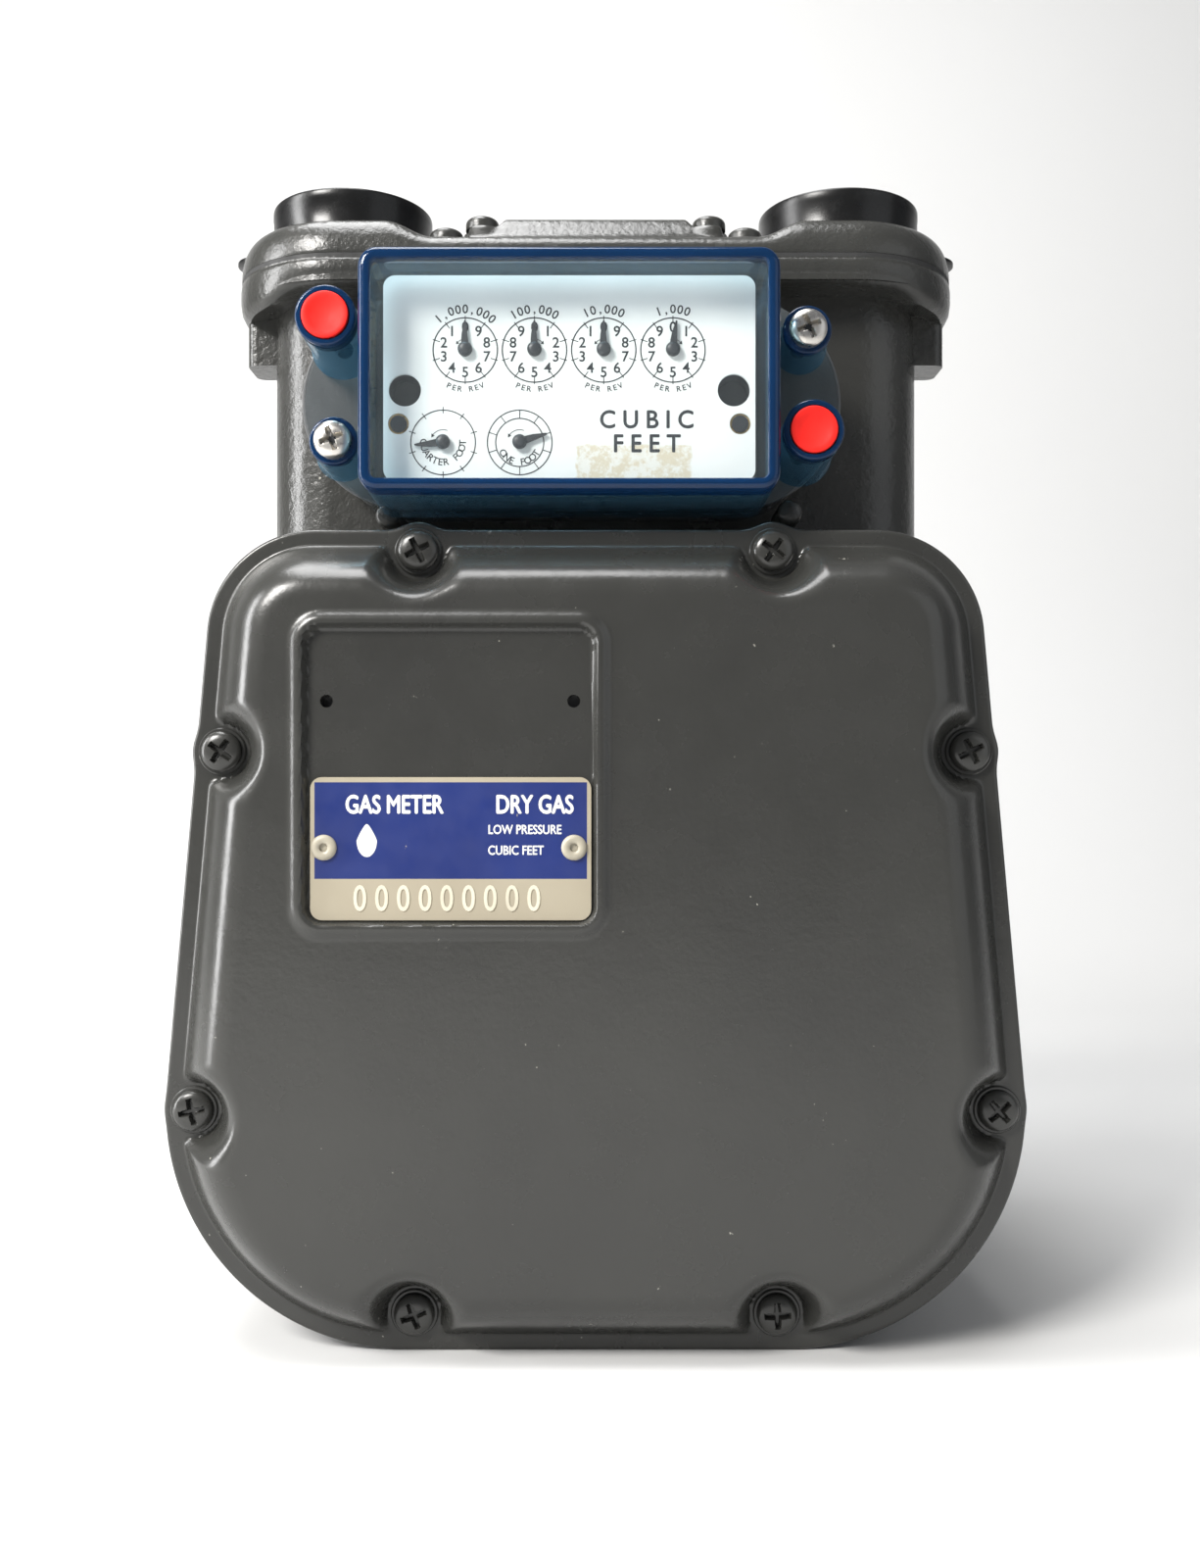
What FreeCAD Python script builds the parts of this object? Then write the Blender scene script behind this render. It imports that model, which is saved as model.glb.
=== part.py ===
import FreeCAD, Part
import math
import os
import Sketcher

# Domestic diaphragm gas meter: a cast aluminium case with a cover on each side, a narrow
# gallery above it for the valve gear, and a sealed index box on the gallery's front.
# +Z is up, the index faces -Y, X runs from the inlet to the outlet, and the origin is
# under the middle of the case, on the plane the meter stands on.

Vector = FreeCAD.Vector
FRONT = FreeCAD.Rotation(Vector(1, 0, 0), 90)
UP = FreeCAD.Rotation()
TURNED = FreeCAD.Rotation(Vector(0, 0, 1), 180)

DIMENSIONS = {
    # case outline: the centres and radii of its rounded corners
    "lower_x": 50.4, "lower_z": 64, "lower_radius": 64,
    "upper_x": 74.5, "upper_z": 189, "upper_radius": 29,
    # distances from the middle plane to the case face, cover rim, dome face and badge ridge
    "case_face": 67.5, "gasket_thick": 1.5, "rim_thick": 3, "dome_face": 87, "ridge_face": 88,
    "case_inset": 1.5, "case_wall": 6, "partition_thick": 4,
    "dome_inset": 5.5, "dome_draft": 30, "cover_wall": 3.5, "scallop_radius": 9,
    "dome_round": 3, "rim_round": 0.9,
    # cover screws
    "screw_top_x": 47, "screw_top_z": 212, "screw_high_x": 99, "screw_high_z": 159,
    "screw_low_x": 106.5, "screw_low_z": 64, "screw_foot_x": 48, "screw_foot_z": 10.2,
    "screw_radius": 2.2, "screw_length": 16, "screw_head_radius": 5.4, "screw_head_tall": 3.2,
    "hole_slack": 0.05, "lug_radius": 8.4, "boss_radius": 7, "boss_length": 22,
    # badge and its recess in the front cover
    "recess_left": -74, "recess_right": -0.5, "recess_low": 115, "recess_high": 190.2,
    "recess_corner": 4, "ridge_wide": 4, "panel_face": 85.5,
    "badge_left": -73, "badge_right": -1.1, "badge_low": 115.4, "badge_high": 152,
    "pad_half": 40, "pad_low": 72, "pad_high": 152,
    "badge_thick": 0.8, "badge_corner": 3, "rivet_left": -69.5, "rivet_right": -5.5,
    "rivet_z": 134, "rivet_radius": 1.6, "rivet_head": 3.3, "rivet_bore": 1, "rivet_tall": 1.1,
    "spare_left": -69, "spare_right": -5.6, "spare_z": 171.5, "spare_radius": 1.65,
    # gallery, its flange and the cover on top of it
    "gallery_x": 74, "gallery_reach": 80, "gallery_radius": 20, "gallery_floor": 220, "gallery_root": 200,
    "gallery_wall": 4, "duct_radius": 15.5, "duct_wall": 1.5, "duct_left": 50, "duct_low": 280,
    "duct_leg": 9, "duct_half": 13, "duct_front": 1.5, "duct_drop": 3,
    "flange_x": 76.2, "flange_radius": 34.2, "flange_low": 298, "flange_top": 304.6,
    "lug_reach": 108, "lug_half": 8, "lug_low": 280.6, "lug_corner": 3,
    "top_gasket": 1.2, "hood_shelf": 311.5, "shelf_round": 3, "collar_top": 317, "collar_radius": 32,
    "collar_bore": 26.2, "crown_top": 320, "crown_x": 20, "crown_radius": 22,
    "crown_draft": 28, "hood_round": 2, "tab_slot_half": 10.5,
    "inner_screw_x": 34, "inner_screw_y": 21, "inner_boss_top": 316.8,
    "outer_screw_x": 44.4, "outer_screw_y": 25, "outer_boss_top": 311.7,
    "hood_screw_radius": 1.7, "hood_head_radius": 5, "hood_head_tall": 3.8,
    "hood_boss_radius": 6, "hollow_radius": 13, "hollow_roof": 3.5,
    # pipe connections and their pull-off caps
    "port_x": 76.2, "port_bore": 17, "thread_root": 21.4, "thread_crest": 22.5,
    "thread_pitch": 2.2, "thread_low": 312.5, "thread_overlap": 0.2,
    "port_top": 326.5, "port_seat": 300.6,
    "port_flange": 25.9, "seat_slack": 0.1, "cap_radius": 24.7, "cap_bore": 23,
    "cap_low": 313, "cap_tall": 16, "cap_roof": 2, "tab_reach": 27.2, "tab_radius": 9,
    "tab_thick": 1.6, "cap_round": 0.9,
    # index box and its mounting
    "index_x": -6.8, "index_z": 258, "mount_reach": 46, "mount_radius": 30,
    "mount_face": 46, "mount_inset": 2, "mount_pocket": 10, "mount_floor": 26,
    "base_thick": 2, "box_wide": 109, "box_tall": 62.9, "box_front": 85, "box_wall": 2.2,
    "box_drop": 0.8,
    "box_corner": 5, "box_round": 1.2, "box_flange": 2.5, "box_flange_inset": 1,
    "boss_x": 64, "boss_z": 15,
    "tall_boss": 78, "tall_boss_radius": 8, "low_boss_radius": 6.6,
    "head_seat": 66, "box_screw_radius": 2.4, "box_head_radius": 5.1, "box_head_tall": 3.4,
    "box_screw_end": 40, "plug_radius": 6.2, "plug_back": 70, "plug_proud": 0.8,
    # index mechanism
    "plate_wide": 99.1, "plate_tall": 54.8, "plate_corner": 3.2, "plate_x": -7,
    "plate_z": 258.4, "dial_front": 71, "dial_thick": 0.8, "frame_front": 52.2,
    "frame_thick": 1.2, "pillar_radius": 2.8, "pillar_x": 45.5, "pillar_drop": 12.1,
    "pillar_high_x": 42, "pillar_rise": 23.5, "port_hole_x": 43.8, "port_hole_drop": 3.2,
    "port_hole_radius": 4.3, "dial_pitch": 18.43, "dial_rise": 7.5, "first_dial": -27.7,
    "test_drop": 17.1, "foot_dial": -13.2, "quarter_dial": -33.6,
    "arbor_radius": 0.9, "arbor_slack": 0.05, "arbor_sunk": 0.2, "arbor_gap": 0.6,
    "dial_hole": 1.3, "arbor_front": 72.6,
    "pointer_back": 71.5, "pointer_thick": 0.6, "pointer_hub": 1.9, "pointer_long": 7.6,
    "pointer_root": 1.1, "pointer_waist": 0.9, "pointer_tip": 0.25,
    "dial_screw_hole": 2.8, "dial_screw_tall": 0.9,
    "gear_thick": 1, "first_layer": 54.5, "layer_pitch": 2.5,
    # crank, worm and the shaft that drives the index
    "worm_radius": 4, "worm_module": 1.2, "wheel_teeth": 10, "wheel_wide": 3,
    "shaft_radius": 1.5, "bushing_radius": 4, "shaft_rear": 4, "crank_radius": 2,
    "crank_foot": 226.4, "crank_top": 272, "crank_throw": 9.5, "crank_pin": 1.5,
    "crank_plate_low": 268, "crank_plate": 2, "crank_edge": 3, "crank_pin_up": 3,
    "worm_turns": 5, "bridge_low": 253, "bridge_thick": 3, "bridge_half": 13, "bridge_leg": 2,
    "bridge_side": 5, "dog_radius": 3, "dog_long": 2, "dog_gap": 0.5,
    # diaphragms and the linkage they drive
    "chest_z": 112, "ring_radius": 74, "ring_inner": 66, "ring_thick": 3, "skin": 1,
    "pan_radius": 58, "pan_mid": 28.5, "pan_thick": 1.2, "pan_inset": 2, "clamp_gap": 0.01,
    "bracket_half": 5, "bracket_tall": 12, "bracket_slot": 8, "bracket_web": 3,
    "rod_x": 80, "rod_y": 8, "rod_radius": 2.5, "rod_low": 31, "rod_top": 262,
    "rod_bushing": 5, "rod_slack": 0.05, "flag_y": 45, "flag_thick": 1.5,
    "flag_low": 82, "flag_tall": 60, "flag_reach": 72, "flag_sleeve": 4.5, "flag_margin": 10,
    "flag_gap": 0.5, "arm_low": 257, "arm_reach": 30, "arm_root": 5, "arm_tip": 3.5,
    "arm_thick": 2, "link_reach": 26, "link_side": 6, "link_tip": 3, "link_thick": 1.5,
    "link_pin": 1.5, "link_slack": 0.05, "link_gap": 0.3, "bushing_deep": 12,
    "bushing_proud": 2, "step_half": 5, "step_deep": 6, "step_tall": 4,
    # valve table and slide valves
    "table_left": -62, "table_right": 46, "table_half": 14, "table_thick": 6,
    "valve_left": -44, "valve_right": 30, "valve_long": 26, "valve_half": 10,
    "valve_tall": 7, "port_long": 5, "port_gap": 8, "valve_lift": 0.3, "valve_wall": 2,
    "valve_roof": 2.5, "ear_radius": 2, "ear_tall": 3, "table_corner": 2, "hub_radius": 5,
    "hub_tall": 4,
}

doc = FreeCAD.newDocument("gas_meter")
sheet = doc.addObject("Spreadsheet::Sheet", "Dims")
for row, (alias, value) in enumerate(DIMENSIONS.items(), start=1):
    sheet.set(f"A{row}", alias)
    sheet.set(f"B{row}", str(value))
    sheet.setAlias(f"B{row}", alias)
doc.recompute()

nodes = []
SAME_PLANE = 0.001


# ---------------------------------------------------------------- helpers


def full(expression):
    """The expression with every dimension's name led by the sheet's."""
    words = []
    word = ""
    for letter in str(expression) + " ":
        if letter.isalnum() or letter in "_.":
            word += letter
            continue
        words.append("Dims." + word if word in DIMENSIONS else word)
        words.append(letter)
        word = ""
    return "".join(words).strip()


def num(expression):
    """The value of an expression in the sheet's dimensions."""
    return float(sheet.evalExpression(full(expression)))


def bind(thing, **sizes):
    """Ties properties to the sheet; a double underscore stands for a dot."""
    for name, expression in sizes.items():
        thing.setExpression(name.replace("__", "."), full(expression))
    return thing


def node(thing):
    """Marks a document object as one of the meter's pieces."""
    thing.Label = thing.Name
    nodes.append(thing)
    return thing


def place(thing, x="0", y="0", z="0", turn=UP):
    """Turns an object and ties its position to the sheet."""
    thing.Placement.Rotation = turn
    return bind(thing, Placement__Base__x=x, Placement__Base__y=y, Placement__Base__z=z)


def rod(name, radius, low, high, x="0", y="0"):
    """An upright cylinder between two heights."""
    made = bind(doc.addObject("Part::Cylinder", name), Radius=radius, Height=f"({high}) - ({low})")
    return place(made, x, y, low)


def pin(name, radius, back, front, x="0", z="0"):
    """A cylinder along -Y between two distances in front of the middle plane."""
    made = bind(doc.addObject("Part::Cylinder", name), Radius=radius, Height=f"({front}) - ({back})")
    return place(made, x, f"-({back})", z, FRONT)


def block(name, x_low, x_high, y_low, y_high, z_low, z_high):
    """A box between two corners."""
    made = doc.addObject("Part::Box", name)
    bind(made, Length=f"({x_high}) - ({x_low})", Width=f"({y_high}) - ({y_low})")
    bind(made, Height=f"({z_high}) - ({z_low})")
    return place(made, x_low, y_low, z_low)


def joined(name, things):
    made = doc.addObject("Part::MultiFuse", name)
    made.Shapes = things
    return made


def less(name, base, tool):
    made = doc.addObject("Part::Cut", name)
    made.Base = base
    made.Tool = tool
    return made


def group(name, things):
    made = doc.addObject("Part::Compound", name)
    made.Links = things
    return made


def copies(name, master, places, turn=UP):
    """One piece repeated at several places, each a separate solid."""
    links = []
    for index, (x, y, z) in enumerate(places, start=1):
        link = doc.addObject("App::Link", f"{name}_{index}")
        link.LinkedObject = master
        link.LinkTransform = False
        links.append(place(link, x, y, z, turn))
    return group(name, links)


def turned_copy(name, master):
    """The same piece on the other side: half a turn about the upright axis."""
    link = doc.addObject("App::Link", f"{name}_link")
    link.LinkedObject = master
    link.LinkTransform = True
    link.Placement.Rotation = TURNED
    return group(name, [link])


def new_body(name):
    return doc.addObject("PartDesign::Body", name)


def sketch_on(body, role, offset="0"):
    """A sketch on one of the body's own planes, moved along the plane's normal."""
    sketch = body.newObject("Sketcher::SketchObject", f"{body.Name}_sketch")
    plane = [item for item in body.Origin.OriginFeatures if item.Role == role][0]
    sketch.AttachmentSupport = (plane, [""])
    sketch.MapMode = "FlatFace"
    return bind(sketch, AttachmentOffset__Base__z=offset)


def fix(sketch, kind, *place_in_sketch, value):
    """A driving constraint tied to the sheet."""
    index = sketch.addConstraint(Sketcher.Constraint(kind, *place_in_sketch, num(value)))
    sketch.setExpression(f"Constraints[{index}]", full(value))


def fix_point(sketch, item, point, x, y):
    fix(sketch, "DistanceX", -1, 1, item, point, value=x)
    fix(sketch, "DistanceY", -1, 1, item, point, value=y)


def draw_circle(sketch, x, y, radius):
    circle = Part.Circle(Vector(num(x), num(y), 0), Vector(0, 0, 1), num(radius))
    item = sketch.addGeometry(circle, False)
    fix(sketch, "Radius", item, value=radius)
    fix_point(sketch, item, 3, x, y)


def draw_hull(sketch, corners, inset="0"):
    """The tight band round a few circles, listed counter-clockwise, moved in by an inset."""
    sizes = [(num(x), num(y), num(f"({radius}) - ({inset})")) for x, y, radius in corners]
    count = len(sizes)
    ends = []
    for index, (x1, y1, r1) in enumerate(sizes):
        x2, y2, r2 = sizes[(index + 1) % count]
        apart = math.hypot(x2 - x1, y2 - y1)
        out = math.atan2(y2 - y1, x2 - x1) - math.acos((r1 - r2) / apart)
        start = Vector(x1 + r1 * math.cos(out), y1 + r1 * math.sin(out), 0)
        end = Vector(x2 + r2 * math.cos(out), y2 + r2 * math.sin(out), 0)
        ends.append((out, start, end))
    first = sketch.GeometryCount
    for index, (x, y, radius) in enumerate(sizes):
        begin = ends[index - 1][0]
        stop = ends[index][0]
        while stop < begin:
            stop += 2 * math.pi
        circle = Part.Circle(Vector(x, y, 0), Vector(0, 0, 1), radius)
        sketch.addGeometry(Part.ArcOfCircle(circle, begin, stop), False)
        sketch.addGeometry(Part.LineSegment(ends[index][1], ends[index][2]), False)
    for index, (x, y, radius) in enumerate(corners):
        arc = first + 2 * index
        after = first + 2 * ((index + 1) % count)
        sketch.addConstraint(Sketcher.Constraint("Tangent", arc, 2, arc + 1, 1))
        sketch.addConstraint(Sketcher.Constraint("Tangent", arc + 1, 2, after, 1))
        fix(sketch, "Radius", arc, value=f"({radius}) - ({inset})")
        fix_point(sketch, arc, 3, x, y)


def draw_path(sketch, points):
    """A closed outline of straight lines through points tied to the sheet."""
    spots = [Vector(num(x), num(y), 0) for x, y in points]
    first = sketch.GeometryCount
    count = len(spots)
    for index, spot in enumerate(spots):
        sketch.addGeometry(Part.LineSegment(spot, spots[(index + 1) % count]), False)
    for index, (x, y) in enumerate(points):
        after = first + (index + 1) % count
        sketch.addConstraint(Sketcher.Constraint("Coincident", first + index, 2, after, 1))
        fix_point(sketch, first + index, 1, x, y)


def rounded(left, right, low, high, radius):
    """The four corner circles of a rounded rectangle, counter-clockwise."""
    xs = (f"({left}) + ({radius})", f"({right}) - ({radius})")
    ys = (f"({low}) + ({radius})", f"({high}) - ({radius})")
    return [(xs[a], ys[b], radius) for a, b in ((0, 0), (1, 0), (1, 1), (0, 1))]


def pad(body, sketch, length, draft="0", inward=False):
    made = body.newObject("PartDesign::Pad", f"{body.Name}_pad")
    made.Profile = sketch
    made.Reversed = inward
    bind(made, Length=length)
    if draft != "0":
        bind(made, TaperAngle=f"-({draft})")
    doc.recompute()
    return made


def pocket(body, sketch, length, onward=False):
    """Cuts against the sketch's normal, or along it when onward is set."""
    before = body.Shape.Volume
    made = body.newObject("PartDesign::Pocket", f"{body.Name}_pocket")
    made.Profile = sketch
    made.Reversed = onward
    bind(made, Length=length)
    doc.recompute()
    if body.Shape.Volume >= before - 0.01:
        raise RuntimeError(f"{made.Name} removed nothing from {body.Name}")
    return made


def soften(body, radius, axis, level):
    """Rounds every edge that lies in one plane across an axis."""
    before = body.Tip
    level = num(level)
    chosen = []
    for index, edge in enumerate(body.Shape.Edges, start=1):
        ends = [getattr(edge.BoundBox, f"{axis}{end}") for end in ("Min", "Max")]
        if max(abs(end - level) for end in ends) < SAME_PLANE:
            chosen.append(f"Edge{index}")
    made = body.newObject("PartDesign::Fillet", f"{body.Name}_round")
    made.Base = (before, chosen)
    bind(made, Radius=radius)
    doc.recompute()
    return made


def revolved(body, sketch):
    made = body.newObject("PartDesign::Revolution", f"{body.Name}_turned")
    made.Profile = sketch
    made.ReferenceAxis = (sketch, ["V_Axis"])
    made.Angle = 360
    doc.recompute()
    return made


def shaped(name, shape, x="0", y="0", z="0", turn=UP):
    """A piece whose curved teeth or thread need their own shape."""
    made = doc.addObject("Part::Feature", name)
    made.Shape = shape
    return place(made, x, y, z, turn)


CASE = [
    ("-lower_x", "lower_z", "lower_radius"),
    ("lower_x", "lower_z", "lower_radius"),
    ("upper_x", "upper_z", "upper_radius"),
    ("-upper_x", "upper_z", "upper_radius"),
]
COVER_SCREWS = [
    (f"{sign}screw_{where}_x", f"screw_{where}_z")
    for where in ("top", "high", "low", "foot")
    for sign in ("-", "")
]
HOOD_SCREWS = [
    (f"{side}{which}_screw_x", f"{end}{which}_screw_y", f"{which}_boss_top")
    for which in ("inner", "outer")
    for side in ("-", "")
    for end in ("-", "")
]
INDEX_BOSSES = [("-boss_x", "boss_z"), ("boss_x", "-boss_z"), ("-boss_x", "-boss_z"), ("boss_x", "boss_z")]
SIDES = {"inlet": "-port_x", "outlet": "port_x"}


def flange_outline(radius="flange_radius"):
    return [("-flange_x", "0", radius), ("flange_x", "0", radius)]


def mount_outline():
    return [
        ("index_x - mount_reach", "index_z", "mount_radius"),
        ("index_x + mount_reach", "index_z", "mount_radius"),
    ]


# ---------------------------------------------------------------- case


def make_casting():
    """Case drum with its partition, the gallery above it and the flange for the top cover."""
    body = new_body("body_casting")
    sketch = sketch_on(body, "XZ_Plane", "-case_face")
    draw_hull(sketch, CASE, "case_inset")
    pad(body, sketch, "2 * case_face")
    sketch = sketch_on(body, "XY_Plane", "gallery_root")
    draw_hull(sketch, [("-gallery_reach", "0", "gallery_radius"), ("gallery_reach", "0", "gallery_radius")])
    pad(body, sketch, "flange_low - gallery_root")
    sketch = sketch_on(body, "XY_Plane", "flange_low")
    draw_hull(sketch, flange_outline())
    pad(body, sketch, "flange_top - flange_low")
    sketch = sketch_on(body, "XY_Plane", "lug_low")
    draw_hull(sketch, rounded("-lug_reach", "lug_reach", "-lug_half", "lug_half", "lug_corner"))
    pad(body, sketch, "flange_low - lug_low")
    sketch = sketch_on(body, "XZ_Plane", "gallery_radius - gallery_wall")
    draw_hull(sketch, mount_outline(), "mount_inset")
    pad(body, sketch, "mount_face - gallery_radius + gallery_wall")
    for sign in (1, -1):
        sketch = sketch_on(body, "XZ_Plane", f"{sign} * case_face")
        draw_hull(sketch, CASE, "case_inset + case_wall")
        pocket(body, sketch, "case_face - partition_thick / 2", onward=sign < 0)
        sketch = sketch_on(body, "XZ_Plane", f"{sign} * case_face")
        for x, z in COVER_SCREWS:
            draw_circle(sketch, x, z, "boss_radius")
        pad(body, sketch, "boss_length", inward=sign > 0)
        sketch = sketch_on(body, "XZ_Plane", f"{sign} * case_face")
        for x, z in COVER_SCREWS:
            draw_circle(sketch, x, z, "screw_radius + hole_slack")
        pocket(body, sketch, "screw_length", onward=sign < 0)
    sketch = sketch_on(body, "XY_Plane", "flange_top")
    inner = "gallery_radius - gallery_wall"
    draw_hull(sketch, [("-gallery_reach", "0", inner), ("gallery_reach", "0", inner)])
    pocket(body, sketch, "flange_top - gallery_floor")
    sketch = sketch_on(body, "XY_Plane", "flange_top")
    for x in SIDES.values():
        draw_circle(sketch, x, "0", "port_flange + seat_slack")
    pocket(body, sketch, "flange_top - port_seat")
    sketch = sketch_on(body, "XY_Plane", "flange_top")
    for x, y, _ in HOOD_SCREWS:
        draw_circle(sketch, x, y, "hood_screw_radius + hole_slack")
    pocket(body, sketch, "flange_top - flange_low")
    sketch = sketch_on(body, "XZ_Plane", "mount_face")
    draw_hull(sketch, mount_outline(), "mount_pocket")
    pocket(body, sketch, "mount_face - mount_floor")
    sketch = sketch_on(body, "XZ_Plane", "mount_face")
    for x, z in INDEX_BOSSES:
        draw_circle(sketch, f"index_x + ({x})", f"index_z + ({z})", "box_screw_radius + hole_slack")
    pocket(body, sketch, "mount_face - box_screw_end")
    sketch = sketch_on(body, "XZ_Plane", "mount_floor")
    draw_circle(sketch, "plate_x + foot_dial", "plate_z - test_drop", "bushing_radius")
    pocket(body, sketch, "mount_floor")
    sketch = sketch_on(body, "XY_Plane", "gallery_floor")
    draw_circle(sketch, "-rod_x", "-rod_y", "rod_bushing")
    draw_circle(sketch, "rod_x", "rod_y", "rod_bushing")
    pocket(body, sketch, "gallery_floor - gallery_root + case_wall")
    return node(body)


def make_gasket(name):
    """Ring between the case and a cover, with an ear round each screw."""
    body = new_body(name)
    sketch = sketch_on(body, "XZ_Plane", "case_face")
    draw_hull(sketch, CASE, "case_inset")
    draw_hull(sketch, CASE, "case_inset + case_wall")
    pad(body, sketch, "gasket_thick")
    sketch = sketch_on(body, "XZ_Plane", "case_face")
    for x, z in COVER_SCREWS:
        draw_circle(sketch, x, z, "boss_radius")
    pad(body, sketch, "gasket_thick")
    sketch = sketch_on(body, "XZ_Plane", "case_face")
    for x, z in COVER_SCREWS:
        draw_circle(sketch, x, z, "screw_radius + hole_slack")
    pocket(body, sketch, "gasket_thick", onward=True)
    return body


def make_cover(name, with_badge):
    """Pressed cover: a flat rim, a drafted dome scalloped round each screw, a hollow back."""
    back = "case_face + gasket_thick"
    rim_face = f"{back} + rim_thick"
    outer = new_body(f"{name}_outer")
    sketch = sketch_on(outer, "XZ_Plane", back)
    draw_hull(sketch, CASE)
    pad(outer, sketch, "rim_thick")
    soften(outer, "rim_round", "Y", f"-({rim_face})")
    sketch = sketch_on(outer, "XZ_Plane", back)
    for x, z in COVER_SCREWS[:6]:
        draw_circle(sketch, x, z, "lug_radius")
    pad(outer, sketch, "rim_thick")
    sketch = sketch_on(outer, "XZ_Plane", back)
    draw_hull(sketch, CASE, "dome_inset")
    pad(outer, sketch, f"dome_face - ({back})", draft="dome_draft")
    soften(outer, "dome_round", "Y", "-dome_face")
    sketch = sketch_on(outer, "XZ_Plane", rim_face)
    for x, z in COVER_SCREWS:
        draw_circle(sketch, x, z, "scallop_radius")
    pocket(outer, sketch, "dome_face", onward=True)
    if with_badge:
        recess = rounded("recess_left", "recess_right", "recess_low", "recess_high", "recess_corner")
        ridge = [(x, z, f"({radius}) + ridge_wide") for x, z, radius in recess]
        sketch = sketch_on(outer, "XZ_Plane", "dome_face")
        draw_hull(sketch, ridge)
        pad(outer, sketch, "ridge_face - dome_face")
        sketch = sketch_on(outer, "XZ_Plane", "ridge_face")
        draw_hull(sketch, recess)
        pocket(outer, sketch, "ridge_face - panel_face")
        sketch = sketch_on(outer, "XZ_Plane", "ridge_face")
        for side in ("left", "right"):
            draw_circle(sketch, f"spare_{side}", "spare_z", "spare_radius")
            draw_circle(sketch, f"rivet_{side}", "rivet_z", "rivet_radius")
        pocket(outer, sketch, "ridge_face - case_face")
    else:
        sketch = sketch_on(outer, "XZ_Plane", "dome_face")
        draw_hull(sketch, rounded("-pad_half", "pad_half", "pad_low", "pad_high", "recess_corner"))
        pad(outer, sketch, "ridge_face - dome_face")
    sketch = sketch_on(outer, "XZ_Plane", rim_face)
    for x, z in COVER_SCREWS:
        draw_circle(sketch, x, z, "screw_radius + hole_slack")
    pocket(outer, sketch, "2 * rim_thick")
    inner = new_body(f"{name}_inner")
    sketch = sketch_on(inner, "XZ_Plane", back)
    draw_hull(sketch, CASE, "dome_inset + cover_wall")
    pad(inner, sketch, f"dome_face - cover_wall - ({back})", draft="dome_draft")
    sketch = sketch_on(inner, "XZ_Plane", back)
    for x, z in COVER_SCREWS:
        draw_circle(sketch, x, z, "scallop_radius + cover_wall")
    pocket(inner, sketch, "dome_face", onward=True)
    return less(name, outer, inner)


# Proportions of a screw's head: crown and recess arm against its radius, side and recess
# depth against its height.
HEAD_CROWN = 0.72
HEAD_SIDE = 0.55
RECESS_REACH = 0.55
RECESS_HALF = 0.13
RECESS_DEEP = 0.5


def cross_screw(name, radius, length, head_radius, head_tall):
    """Pan-head screw along -Y with a crossed recess, its head seated at the origin."""
    body = new_body(name)
    sketch = sketch_on(body, "XY_Plane", "0")
    crown = f"({head_radius}) * {HEAD_CROWN}"
    draw_path(sketch, [
        ("0", f"-({length})"), (radius, f"-({length})"), (radius, "0"), (head_radius, "0"),
        (head_radius, f"({head_tall}) * {HEAD_SIDE}"), (crown, head_tall), ("0", head_tall),
    ])
    revolved(body, sketch)
    sketch = sketch_on(body, "XZ_Plane", f"-({head_tall})")
    arm = f"({head_radius}) * {RECESS_REACH}"
    slot = f"({head_radius}) * {RECESS_HALF}"
    draw_path(sketch, [
        (arm, f"-({slot})"), (arm, slot), (slot, slot), (slot, arm), (f"-({slot})", arm),
        (f"-({slot})", slot), (f"-({arm})", slot), (f"-({arm})", f"-({slot})"),
        (f"-({slot})", f"-({slot})"), (f"-({slot})", f"-({arm})"), (slot, f"-({arm})"),
        (slot, f"-({slot})"),
    ])
    pocket(body, sketch, f"({head_tall}) * {RECESS_DEEP}", onward=True)
    return body


def make_case():
    make_casting()
    gasket = make_gasket("gasket_ring")
    node(group("cover_gaskets", [gasket, turned_copy("gasket_ring_back", gasket)]))
    node(make_cover("front_cover", True))
    node(turned_copy("back_cover", make_cover("plain_cover", False)))
    head = ("screw_head_radius", "screw_head_tall")
    screw = cross_screw("cover_screw", "screw_radius", "screw_length", *head)
    seat = "case_face + gasket_thick + rim_thick"
    places = [(x, f"-({seat})", z) for x, z in COVER_SCREWS]
    front = copies("front_screws", screw, places, TURNED)
    node(group("cover_screws", [front, turned_copy("back_screws", front)]))


# ---------------------------------------------------------------- badge


def make_badge():
    body = new_body("badge_plate")
    sketch = sketch_on(body, "XZ_Plane", "panel_face")
    draw_hull(sketch, rounded("badge_left", "badge_right", "badge_low", "badge_high", "badge_corner"))
    for side in ("left", "right"):
        draw_circle(sketch, f"rivet_{side}", "rivet_z", "rivet_radius")
    pad(body, sketch, "badge_thick")
    node(body)
    rivets = []
    face = "panel_face + badge_thick"
    for side in ("left", "right"):
        x = f"rivet_{side}"
        shank = pin(f"rivet_shank_{side}", "rivet_radius", "dome_face - cover_wall", face, x, "rivet_z")
        head = pin(f"rivet_head_{side}", "rivet_head", face, f"{face} + rivet_tall", x, "rivet_z")
        clear = f"{face} + 2 * rivet_tall"
        bore = pin(f"rivet_bore_{side}", "rivet_bore", "panel_face", clear, x, "rivet_z")
        whole = joined(f"rivet_whole_{side}", [shank, head])
        rivets.append(less(f"rivet_{side}_piece", whole, bore))
    node(group("badge_rivets", rivets))


# ---------------------------------------------------------------- top cover and connections


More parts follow.
